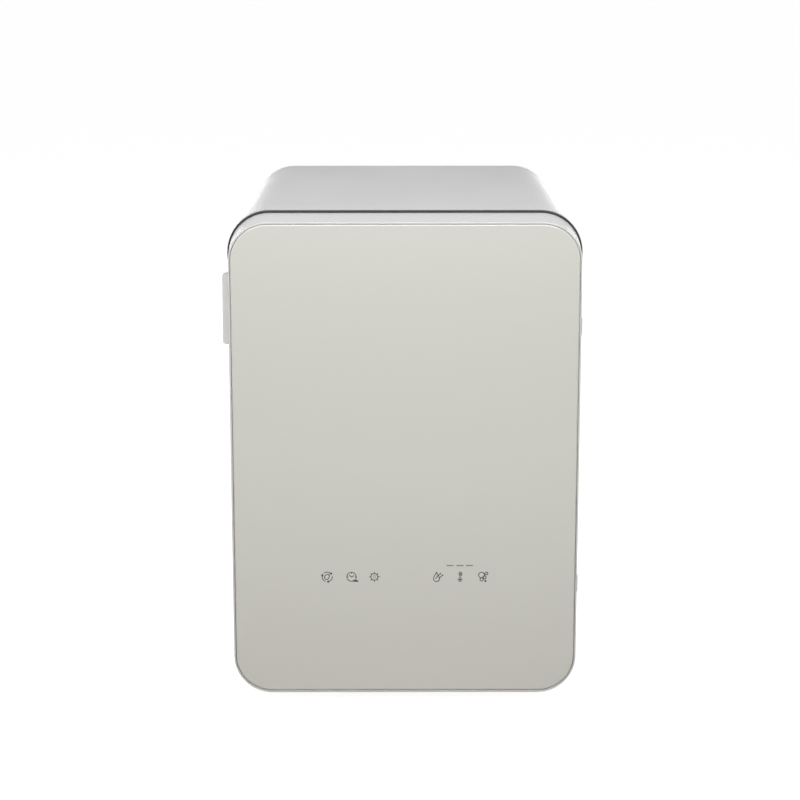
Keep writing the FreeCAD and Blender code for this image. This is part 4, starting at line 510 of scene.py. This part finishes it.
def piece(name, parts, material, body, smooth_angle=40.0):
    """One object from grids of points: doubles merged, faces turned outwards and sharp corners kept."""
    vertices, faces, start = [], [], 0
    for points, squares in parts:
        vertices.append(points)
        faces.append(squares + start)
        start += len(points)
    vertices, faces = np.concatenate(vertices), np.concatenate(faces)
    mesh = bpy.data.meshes.new(name)
    mesh.vertices.add(len(vertices))
    mesh.vertices.foreach_set("co", vertices.astype(np.float32).ravel())
    mesh.loops.add(faces.size)
    mesh.loops.foreach_set("vertex_index", faces.astype(np.int32).ravel())
    mesh.polygons.add(len(faces))
    mesh.polygons.foreach_set("loop_start", np.arange(0, faces.size, 4, dtype=np.int32))
    mesh.update(calc_edges=True)
    work = bmesh.new()
    work.from_mesh(mesh)
    bmesh.ops.remove_doubles(work, verts=work.verts, dist=0.002 * MM)
    bmesh.ops.recalc_face_normals(work, faces=work.faces)
    work.to_mesh(mesh)
    work.free()
    mesh.shade_smooth()
    mesh.set_sharp_from_angle(angle=math.radians(smooth_angle))
    mesh.materials.append(finish(material))
    made = bpy.data.objects.new(name, mesh)
    bpy.context.scene.collection.objects.link(made)
    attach(made, body)
    return made


def rounded_rectangle(width, height, radius, per_corner):
    """Points and outward normals of a rectangle with round corners, anticlockwise.

    Both are (n, 2) arrays: each corner's middle plus the radius along the normal.
    """
    quarter = np.linspace(0, math.pi / 2, per_corner)
    angles = np.concatenate([quarter + turn * math.pi / 2 for turn in range(4)])
    normals = np.stack([np.cos(angles), np.sin(angles)], axis=1)
    signs = np.repeat([(1, 1), (-1, 1), (-1, -1), (1, -1)], per_corner, axis=0)
    centres = signs * (width / 2 - radius, height / 2 - radius)
    return centres + radius * normals, normals


def band(outline, normals, profile, middle):
    """A profile of (outwards, along y) points carried round an outline in the x-z plane."""
    outwards, deep = profile[:, 0], profile[:, 1]
    across = outline[:, None, :] + outwards[None, :, None] * normals[:, None, :]
    points = np.empty((len(outline), len(profile), 3))
    points[..., 0] = middle[0] + across[..., 0]
    points[..., 1] = deep[None, :]
    points[..., 2] = middle[1] + across[..., 1]
    return grid_piece(points, close_rows=True, close_columns=True)


def helix(centre, axis, radius, low, high, turns, per_turn):
    """Points of a helix: a circle square to the axis, while the point moves evenly from low to high."""
    turn = np.linspace(0, turns, per_turn * turns)
    sides = [side for side in range(3) if side != axis]
    points = np.empty((len(turn), 3))
    points[:, sides[0]] = centre[sides[0]] + radius * np.cos(2 * math.pi * turn)
    points[:, sides[1]] = centre[sides[1]] + radius * np.sin(2 * math.pi * turn)
    points[:, axis] = np.linspace(low, high, len(turn))
    return points


def wire(path, radius, around):
    """A round wire along an open path: rings square to the path, drawn to a point at both ends."""
    along = np.gradient(path, axis=0)
    along /= np.linalg.norm(along, axis=1, keepdims=True)
    guide = np.array((0.31, 0.52, 0.79))
    first = np.cross(along, guide)
    first /= np.linalg.norm(first, axis=1, keepdims=True)
    second = np.cross(along, first)
    angles = np.linspace(0, 2 * math.pi, around, endpoint=False)[None, :, None]
    size = np.full(len(path), radius)
    size[[0, -1]] = 0.0
    size = size[:, None, None]
    rings = np.cos(angles) * first[:, None] + np.sin(angles) * second[:, None]
    return grid_piece(path[:, None] + size * rings, close_columns=True)


# Symbols on the glass.  A symbol is drawn in millimetres about its own middle, x across and z up.

def arc(across, up, radius, start=0.0, end=360.0, flatten=1.0, lean=0.0):
    """Points along an arc of a circle or, flattened and leant over, of an ellipse, in degrees.

    There is a point about every 0.14 mm, and never fewer than six.
    """
    count = max(6, int(abs(end - start) * radius / 8))
    angles = np.radians(np.linspace(start, end, count))
    flat = np.stack([radius * np.cos(angles), radius * flatten * np.sin(angles)], axis=1)
    sine, cosine = math.sin(math.radians(lean)), math.cos(math.radians(lean))
    return flat @ np.array([[cosine, sine], [-sine, cosine]]) + (across, up)


def line(*spots):
    """A straight or broken line with points close enough to carry a width."""
    spots = np.array(spots, dtype=float)
    steps = [np.linspace(start, end, 5)[:-1] for start, end in zip(spots[:-1], spots[1:])]
    return np.concatenate([*steps, spots[-1:]])


def drop(across, up, width, height, start, end):
    """Outline of a falling drop over the stretch from start to end of a turn, in degrees from its tip.

    At the angle t, x is half the width times sin(t) sin(t / 2) ** 1.6, and z half the height times cos(t).
    """
    turn = np.radians(np.linspace(start, end, 40))
    aside = width / 2 * np.sin(turn) * np.sin(turn / 2) ** 1.6
    return np.stack([across + aside, up + height / 2 * np.cos(turn)], axis=1)


END_STEPS = 5
LINE_AROUND = 8
SPOT_RINGS = 9
SPOT_AROUND = 28


def print_line(path, width, thickness, place):
    """A printed line: a flat ellipse carried along the path, narrowed at an open end to a half circle."""
    path = np.asarray(path)
    closed = np.allclose(path[0], path[-1])
    if closed:
        path = path[:-1]
        ahead = np.roll(path, -1, axis=0) - np.roll(path, 1, axis=0)
    else:
        ahead = np.gradient(path, axis=0)
    ahead = ahead / np.linalg.norm(ahead, axis=1, keepdims=True)
    half = np.full(len(path), width / 2)
    if not closed:
        turn = np.linspace(0, math.pi / 2, END_STEPS + 1)[1:, None]
        reach = width / 2 * np.sin(turn)
        path = np.concatenate([(path[0] - reach * ahead[0])[::-1], path, path[-1] + reach * ahead[-1]])
        ahead = np.concatenate([np.repeat(ahead[:1], END_STEPS, axis=0), ahead,
                                np.repeat(ahead[-1:], END_STEPS, axis=0)])
        ends = width / 2 * np.cos(turn[:, 0])
        half = np.concatenate([ends[::-1], half, ends])
    aside = np.stack([-ahead[:, 1], ahead[:, 0]], axis=1)
    angles = np.linspace(0, 2 * math.pi, LINE_AROUND, endpoint=False)
    flat = path[:, None] + half[:, None, None] * np.cos(angles)[None, :, None] * aside[:, None]
    points = np.empty((len(path), LINE_AROUND, 3))
    points[..., 0] = place[0] + flat[..., 0] * MM
    points[..., 1] = place[1] - thickness * np.sin(angles)[None, :] * (half / half.max())[:, None]
    points[..., 2] = place[2] + flat[..., 1] * MM
    return grid_piece(points, close_rows=closed, close_columns=True)


def print_spot(across, up, radius, thickness, place, stretch=1.0):
    """A printed spot: a low dome of circles that shrink towards its middle, front and back."""
    turn = np.linspace(-math.pi / 2, math.pi / 2, SPOT_RINGS)
    angles = np.linspace(0, 2 * math.pi, SPOT_AROUND, endpoint=False)
    points = np.empty((SPOT_RINGS, SPOT_AROUND, 3))
    points[..., 0] = place[0] + (across + radius * np.cos(turn)[:, None] * np.cos(angles)) * MM
    points[..., 1] = place[1] - thickness * np.sin(turn)[:, None]
    points[..., 2] = place[2] + (up + radius * stretch * np.cos(turn)[:, None] * np.sin(angles)) * MM
    return grid_piece(points, close_columns=True)


def arrow_head(across, up, direction, size):
    """A chevron whose point is at (across, up).  Its strokes lean back 30 degrees from its direction."""
    spots = []
    for turn in (150, 0, -150):
        angle = math.radians(direction + turn)
        reach = size if turn else 0.0
        spots.append((across + reach * math.cos(angle), up + reach * math.sin(angle)))
    return line(*spots)


def cycle_symbol():
    """Three arrows chasing each other round a small leaning ring."""
    radius, sweep = 4.2, 96.0
    drawn = []
    for start in (245.0, 125.0, 5.0):
        end = start - sweep
        drawn.append(arc(0, 0, radius, start, end))
        tip = math.radians(end)
        drawn.append(arrow_head(radius * math.cos(tip), radius * math.sin(tip), end - 90, 1.5))
    drawn.append(arc(-0.2, 0.0, 2.4, 0, 360, 0.74, 60))
    return drawn, [(1.6, 1.5, 0.6)]


def clock_symbol():
    """A round dial with three ticks and spread hands, and a short thick bar at its lower right."""
    ticks = [line((-4.0, 0), (-2.9, 0)), line((0, 4.0), (0, 3.1)), line((4.0, 0), (3.1, 0))]
    hands = line((-1.7, 1.3), (0, -0.2), (1.7, 1.0))
    bars = [line((1.3, -3.8), (5.5, -4.0)), line((1.5, -3.3), (5.1, -3.4)),
            line((2.0, -2.8), (4.3, -2.8))]
    return [arc(0, 0, 3.85, -25, 300), hands, *ticks, *bars], []


def sun_symbol():
    """A ring with eight short rays."""
    rays = []
    for turn in range(8):
        angle = math.radians(45 * turn)
        rays.append(line(*[(reach * math.cos(angle), reach * math.sin(angle)) for reach in (3.0, 4.1)]))
    return [arc(0, 0, 2.85), *rays], []


def drop_symbol():
    """A drop with two slanted strokes that leave it upwards, each with a dot at its end."""
    outline = drop(-0.8, 0.0, 7.0, 8.2, 75, 360)
    strokes = [line((-0.8, 4.1), (0.7, 0.8)), line((0.4, 0.7), (2.4, 2.7)), line((1.4, -1.4), (4.2, 1.4)),
               line((-1.4, -1.5), (-0.1, 0.6))]
    return [outline, *strokes], [(2.4, 2.7, 0.65), (4.2, 1.4, 0.65)]


def bubbles_symbol():
    """One large bubble among smaller ones."""
    rings = ((-1.2, 1.5, 2.4), (2.8, 2.9, 1.2), (1.3, -0.5, 1.3), (-1.1, -2.3, 1.35))
    return [arc(*ring) for ring in rings], [(2.1, -3.7, 0.9)]


BULB = (0.25, -2.45)


def thermometer_symbol():
    """The dot in the bulb.  The bulb and the stem are printed fainter."""
    return [], [(*BULB, 1.0)]


SYMBOLS = {
    "symbol_cycle": (-64.7, cycle_symbol),
    "symbol_clock": (-44.5, clock_symbol),
    "symbol_sun": (-25.5, sun_symbol),
    "symbol_drop": (27.0, drop_symbol),
    "symbol_thermometer": (45.5, thermometer_symbol),
    "symbol_bubbles": (64.8, bubbles_symbol),
}


def glass_point(name, settings):
    """A symbol's middle on the face of the front glass."""
    face = corners("door_glass")[0][1]
    bottom = corners("door_frame")[0][2]
    return np.array((SYMBOLS[name][0] * MM, face, bottom + settings.height))


class STERILISER_OT_symbols(bpy.types.Operator):
    """Print the six touch symbols on the front glass"""

    bl_idname = "steriliser.symbols"
    bl_label = "Touch symbols"

    def execute(self, context):
        settings = context.scene.steriliser_print
        width = settings.line / MM
        for name, (_, draw) in SYMBOLS.items():
            place = glass_point(name, settings)
            lines, spots = draw()
            parts = [print_line(path, width, settings.ink, place) for path in lines]
            parts += [print_spot(*spot, settings.ink, place) for spot in spots]
            piece(name, parts, "ink", "door")
        return {"FINISHED"}


class STERILISER_OT_faint_print(bpy.types.Operator):
    """Print the lighter areas: the sun's inner ring, the thermometer's outline and the bars above it"""

    bl_idname = "steriliser.faint_print"
    bl_label = "Faint print"

    def execute(self, context):
        settings = context.scene.steriliser_print
        thick = settings.ink
        place = glass_point("symbol_thermometer", settings)
        stem = [print_spot(0.55, 2.45, 1.6, thick, place, 1.35),
                print_line(line((0.3, 0.6), (0.25, -0.5)), 1.0, thick, place),
                print_line(arc(*BULB, 1.75), 0.6, thick, place)]
        piece("thermometer_stem", stem, "faint_ink", "door")
        rise, half, width = 9.8, 2.5, 1.05
        bars = [print_line(line((across - half, rise), (across + half, rise)), width, thick, place)
                for across in (-8.0, 0.1, 7.9)]
        piece("setting_bars", bars, "faint_ink", "door")
        ring = [print_line(arc(0, 0, 1.05), 0.45, thick, glass_point("symbol_sun", settings))]
        piece("sun_inner_ring", ring, "faint_ink", "door")
        return {"FINISHED"}


# Seal, filter, coils, spring and screws

def seal_profile(width, bottom, top):
    """The seal's section as (outwards, along y) points.

    At the share u of its width its height goes with sin(pi u) ** 0.35 (0.78 - 0.22 cos(4 pi u)): two
    round lips with a valley between them.
    """
    across = np.linspace(0, 1, 33)
    rise = np.sin(math.pi * across) ** 0.35 * (0.78 - 0.22 * np.cos(4 * math.pi * across))
    return np.stack([width * across, bottom + (top - bottom) * rise / rise.max()], axis=1)


class STERILISER_OT_seal(bpy.types.Operator):
    """Model the door seal with two soft lips and a valley between them"""

    bl_idname = "steriliser.seal"
    bl_label = "Door seal"

    def execute(self, context):
        low, high = corners("door_gasket")
        gap = 0.25 * MM
        width = high[0] - corners("door_reflector")[1][0] - gap
        inside = high - low - 2 * width
        outline, normals = rounded_rectangle(inside[0], inside[2], 14 * MM, 20)
        profile = seal_profile(width, low[1], high[1])
        middle = (low + high)[[0, 2]] / 2
        made = piece("door_seal", [band(outline, normals, profile, middle)], "seal_grey", "door")
        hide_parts("door_gasket")
        return {"FINISHED"}


def pleated_sheet(low, high, depth, wall, count):
    """A sheet folded count times across x between two corners: a triangle wave of that depth along y.

    The sheet's two faces are the wave moved by the wall to either side, joined at their ends.
    """
    across = np.linspace(low[0], high[0], 8 * count + 1)
    turn = np.linspace(0, count, 8 * count + 1)
    wave = (low[1] + high[1]) / 2 + depth * (2 * np.abs(2 * (turn - np.floor(turn + 0.5))) - 1)
    faces = [np.stack([across, wave + wall], axis=1), np.stack([across, wave - wall], axis=1)[::-1]]
    up = np.linspace(low[2], high[2], 9)
    points = np.empty((len(up), 2 * len(across), 3))
    points[..., :2] = np.concatenate(faces)
    points[..., 2] = up[:, None]
    return grid_piece(points, close_columns=True)


class STERILISER_OT_filter(bpy.types.Operator):
    """Fold the air filter into pleats and put its border round them"""

    bl_idname = "steriliser.filter"
    bl_label = "Air filter"

    def execute(self, context):
        low, high = corners("air_filter")
        border, wall, clear = 4.0 * MM, 0.35 * MM, 1.2 * MM
        inset = np.array((border, 0.0, border))
        depth = (high[1] - low[1]) / 2 - clear
        count = context.scene.steriliser_details.pleats
        sheet = pleated_sheet(low + inset, high - inset, depth, wall, count)
        pleats = piece("filter_pleats", [sheet], "filter_fibre", "cabinet")
        inside = high - low - 2 * inset
        outline, normals = rounded_rectangle(inside[0], inside[2], 1.0 * MM, 5)
        profile = np.array(((0, low[1]), (border, low[1]), (border, high[1]), (0, high[1])))
        rim = band(outline, normals, profile, (low + high)[[0, 2]] / 2)
        edge = piece("filter_edge", [rim], "filter_border", "cabinet")
        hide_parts("air_filter")
        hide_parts("air_filter")
        return {"FINISHED"}


class STERILISER_OT_coils(bpy.types.Operator):
    """Wind the heating coils inside both ends of each lamp, on their two leads"""

    bl_idname = "steriliser.coils"
    bl_label = "Lamp coils"

    def execute(self, context):
        turns = context.scene.steriliser_details.coil_turns
        half, inwards = 3.5 * MM, 17 * MM
        for name in ("upper", "rear"):
            low, high = corners(f"{name}_lamp_tube")
            x, y, z = (low + high) / 2
            parts = []
            for side, end in ((-1, low[0]), (1, high[0])):
                stand = end - side * inwards
                coil = helix((stand, y, z), 2, 0.9 * MM, z - half, z + half, turns, 16)
                parts.append(wire(coil, 0.22 * MM, 6))
                for way in (-1, 1):
                    lead = np.linspace((end - side * MM, y, z + way * 2.5 * MM),
                                       (stand, y, z + way * 3.6 * MM), 8)
                    parts.append(wire(lead, 0.32 * MM, 8))
            piece(f"{name}_lamp_coils", parts, "coil_wire", "cabinet")
        return {"FINISHED"}


class STERILISER_OT_spring(bpy.types.Operator):
    """Wind the spring behind the interlock's plunger"""

    bl_idname = "steriliser.spring"
    bl_label = "Interlock spring"

    def execute(self, context):
        low, high = corners("interlock_spring")
        thick = 0.35 * MM
        radius = (high[0] - low[0]) / 2 - thick
        turns = context.scene.steriliser_details.spring_turns
        path = helix((low + high) / 2, 1, radius, low[1] + thick, high[1] - thick, turns, 24)
        made = piece("plunger_spring", [wire(path, thick, 8)], "screw_steel", "cabinet")
        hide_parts("interlock_spring")
        return {"FINISHED"}


HEAD_RADIUS = 3.2 * MM
HEAD_TALL = 1.8 * MM
SHANK_RADIUS = 1.5 * MM


def screw_surface(head, axis, towards, length, recess):
    """A pan-head screw: a profile turned about its axis, with a cross sunk into its crown.

    The crown falls with the square of the distance from its middle.  It sinks by the recess where one
    side's distance is under the slot's half width and the other's is inside the cross.
    """
    dome = np.linspace(0, 1, 15)
    crown = np.stack([HEAD_RADIUS * 0.93 * dome, HEAD_TALL * (1 - 0.22 * dome ** 2)], axis=1)
    side = np.array(((HEAD_RADIUS, HEAD_TALL * 0.62), (HEAD_RADIUS, 0.0), (SHANK_RADIUS, 0.0),
                     (SHANK_RADIUS, -length + SHANK_RADIUS), (0.35 * SHANK_RADIUS, -length),
                     (0.0, -length)))
    profile = np.concatenate([crown, side])
    around = 48
    angles = np.linspace(0, 2 * math.pi, around, endpoint=False)
    first = profile[:, :1] * np.cos(angles)
    second = profile[:, :1] * np.sin(angles)
    slot, reach, ramp = 0.12 * HEAD_RADIUS, 0.62 * HEAD_RADIUS, 0.16 * HEAD_RADIUS

    def inside(distance, limit):
        return np.clip((limit + ramp - np.abs(distance)) / ramp, 0, 1)

    cross = np.maximum(inside(first, slot) * inside(second, reach),
                       inside(second, slot) * inside(first, reach))
    sink = cross * recess
    sink[len(crown):] = 0
    sides = [(axis + 1) % 3, (axis + 2) % 3]
    points = np.empty((len(profile), around, 3))
    points[..., axis] = head[axis] - towards * (profile[:, 1:] - sink)
    points[..., sides[0]] = head[sides[0]] + first
    points[..., sides[1]] = head[sides[1]] + second
    return grid_piece(points, close_columns=True)


def screw_heads(node, axis, towards):
    """Where a node's screws sit: the middle of each loose part's head across the axis, and their crown."""
    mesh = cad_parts[node].data
    spots = np.empty(len(mesh.vertices) * 3, dtype=np.float32)
    mesh.vertices.foreach_get("co", spots)
    spots = spots.reshape(-1, 3)
    sides = [(axis + 1) % 3, (axis + 2) % 3]
    top = spots[:, axis].max() if towards < 0 else spots[:, axis].min()
    crowns = spots[np.abs(spots[:, axis] - top) < 0.02 * MM][:, sides]
    middles = []
    while len(crowns):
        near = np.linalg.norm(crowns - crowns[0], axis=1) < 8 * MM
        middles.append((crowns[near].min(axis=0) + crowns[near].max(axis=0)) / 2)
        crowns = crowns[~near]
    return middles, top


SCREWS = (
    ("cover_screws", 1, -1, "cabinet"),
    ("foot_screws", 2, 1, "cabinet"),
    ("door_screws", 1, -1, "door"),
    ("hinge_screws", 1, -1, "cabinet"),
)


class STERILISER_OT_screws(bpy.types.Operator):
    """Give every visible screw its domed head with a cross recess"""

    bl_idname = "steriliser.screws"
    bl_label = "Screws"

    def execute(self, context):
        recess = context.scene.steriliser_details.recess
        for node, axis, towards, body in SCREWS:
            low, high = corners(node)
            middles, top = screw_heads(node, axis, towards)
            length = high[axis] - low[axis] - HEAD_TALL
            parts = []
            for middle in middles:
                head = np.zeros(3)
                head[[(axis + 1) % 3, (axis + 2) % 3]] = middle
                head[axis] = top + towards * HEAD_TALL
                parts.append(screw_surface(head, axis, towards, length, recess))
            made = piece(f"{node}_cross", parts, "screw_steel", body, 35.0)
            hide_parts(node)
        return {"FINISHED"}


# Finishes of the frame's own parts

class STERILISER_OT_finishes(bpy.types.Operator):
    """Make every finish and give each part of the frame the one of its slot"""

    bl_idname = "steriliser.finishes"
    bl_label = "Finishes"

    def execute(self, context):
        made = finishes(context.scene.steriliser_colours)
        FINISH_NAMES.update({name: material.name for name, material in made.items()})
        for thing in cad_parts.values():
            slots = thing.data.materials
            for place, name in enumerate([slot.name for slot in slots]):
                slots[place] = made[name]
        return {"FINISHED"}


# Studio

def softbox(name, place, target, width, height, power):
    """An even lamp of that size that faces a point."""
    data = bpy.data.lights.new(name, "AREA")
    data.shape = "RECTANGLE"
    data.size = width
    data.size_y = height
    data.energy = power
    made = bpy.data.objects.new(name, data)
    made.location = place
    made.rotation_euler = (Vector(target) - Vector(place)).to_track_quat("-Z", "Y").to_euler()
    bpy.context.scene.collection.objects.link(made)


def seen_directly(tree):
    """1 where a ray comes from the camera, a mirror or a glass, and 0 elsewhere."""
    path = add(tree, "LightPath").outputs
    direct = maths(tree, "MAXIMUM", path["Is Camera Ray"], path["Is Glossy Ray"])
    return maths(tree, "MAXIMUM", direct, path["Is Transmission Ray"])


def floor_material():
    """Pale floor that keeps a soft shadow: seen directly it is lifted towards white, and the light that it
    throws on other things is low and warm."""
    made, tree, shader, place = new_material("Studio floor", Roughness=0.9)
    speck = noise(tree, place, 240.0, 3.0)
    direct = seen_directly(tree)
    pale = blend(tree, speck, (0.80, 0.80, 0.80), (0.84, 0.84, 0.84))
    feed(tree, shader, Base_Color=blend(tree, direct, (0.20, 0.155, 0.10), pale),
         Emission_Strength=maths(tree, "MULTIPLY", direct, 0.89))
    shader.inputs["Emission Color"].default_value = (1.0, 1.0, 1.0, 1.0)
    return made


LOW_LAMPS = (
    ("left_lamp", (-1.6, -0.05, 0.21)),
    ("right_lamp", (1.6, -0.05, 0.21)),
    ("rear_lamp", (0.0, 1.8, 0.21)),
)
FLOOR_REACH = 12.0


class STERILISER_OT_stage(bpy.types.Operator):
    """Lay the floor, hang the lamps and set up the camera"""

    bl_idname = "steriliser.stage"
    bl_label = "Studio"

    def execute(self, context):
        scene = context.scene
        studio = scene.steriliser_studio
        mesh = bpy.data.meshes.new("studio_floor")
        ground = [(x * FLOOR_REACH, y * FLOOR_REACH, 0.0) for x, y in ((-1, -1), (-1, 1), (1, 1), (1, -1))]
        mesh.from_pydata(ground, [], [(3, 2, 1, 0)])
        mesh.materials.append(floor_material())
        floor = bpy.data.objects.new("studio_floor", mesh)
        scene.collection.objects.link(floor)
        softbox("key_lamp", (0.0, -0.94, 0.93), (0.0, -0.15, 0.31), 1.3, 0.5, studio.key)
        for name, place in LOW_LAMPS:
            softbox(name, place, (0, 0, 0.2), 1.2, 0.38, studio.fill)
        softbox("top_lamp", (0.0, 0.15, 1.6), (0.0, 0.1, 0.0), 1.0, 1.0, studio.top)
        world = bpy.data.worlds.new("Studio room")
        scene.world = world
        world.use_nodes = True
        tree = world.node_tree
        tree.nodes.clear()
        room = add(tree, "Background", {"Color": (1.0, 1.0, 1.0, 1.0),
                                        "Strength": spread(tree, seen_directly(tree), studio.sky, 1.0)})
        add(tree, "OutputWorld", {"Surface": room.outputs[0]})
        lens = bpy.data.cameras.new("studio_camera")
        lens.lens = studio.lens
        lens.sensor_width = 36.0
        lens.clip_start = 0.05
        camera = bpy.data.objects.new("studio_camera", lens)
        camera.location = (studio.across, -studio.distance, studio.height)
        camera.rotation_euler = (studio.tilt, 0.0, studio.pan)
        scene.collection.objects.link(camera)
        scene.camera = camera
        scene.view_settings.view_transform = "Standard"
        return {"FINISHED"}


# Panel and registration

STEPS = (
    STERILISER_OT_finishes,
    STERILISER_OT_symbols,
    STERILISER_OT_faint_print,
    STERILISER_OT_seal,
    STERILISER_OT_filter,
    STERILISER_OT_coils,
    STERILISER_OT_spring,
    STERILISER_OT_screws,
    STERILISER_OT_stage,
)

SETTINGS = (
    ("steriliser_colours", STERILISER_PG_colours),
    ("steriliser_print", STERILISER_PG_print),
    ("steriliser_details", STERILISER_PG_details),
    ("steriliser_studio", STERILISER_PG_studio),
)


class STERILISER_PT_panel(bpy.types.Panel):
    """Steps that dress the steriliser, and what can be chosen for them"""

    bl_idname = "STERILISER_PT_panel"
    bl_label = "Steriliser"
    bl_space_type = "VIEW_3D"
    bl_region_type = "UI"
    bl_category = "Steriliser"

    def draw(self, context):
        for step in STEPS:
            self.layout.operator(step.bl_idname)
        for name, group in SETTINGS:
            box = self.layout.box()
            values = getattr(context.scene, name)
            for label in group.__annotations__:
                box.prop(values, label)


CLASSES = (*(group for _, group in SETTINGS), *STEPS, STERILISER_PT_panel)


def register():
    for entry in CLASSES:
        bpy.utils.register_class(entry)
    for name, group in SETTINGS:
        setattr(bpy.types.Scene, name, PointerProperty(type=group))


def unregister():
    for name, _ in SETTINGS:
        delattr(bpy.types.Scene, name)
    for entry in reversed(CLASSES):
        bpy.utils.unregister_class(entry)


def main():
    register()
    for step in STEPS:
        family, name = step.bl_idname.split(".")
        getattr(getattr(bpy.ops, family), name)()


if __name__ == "__main__":
    main()
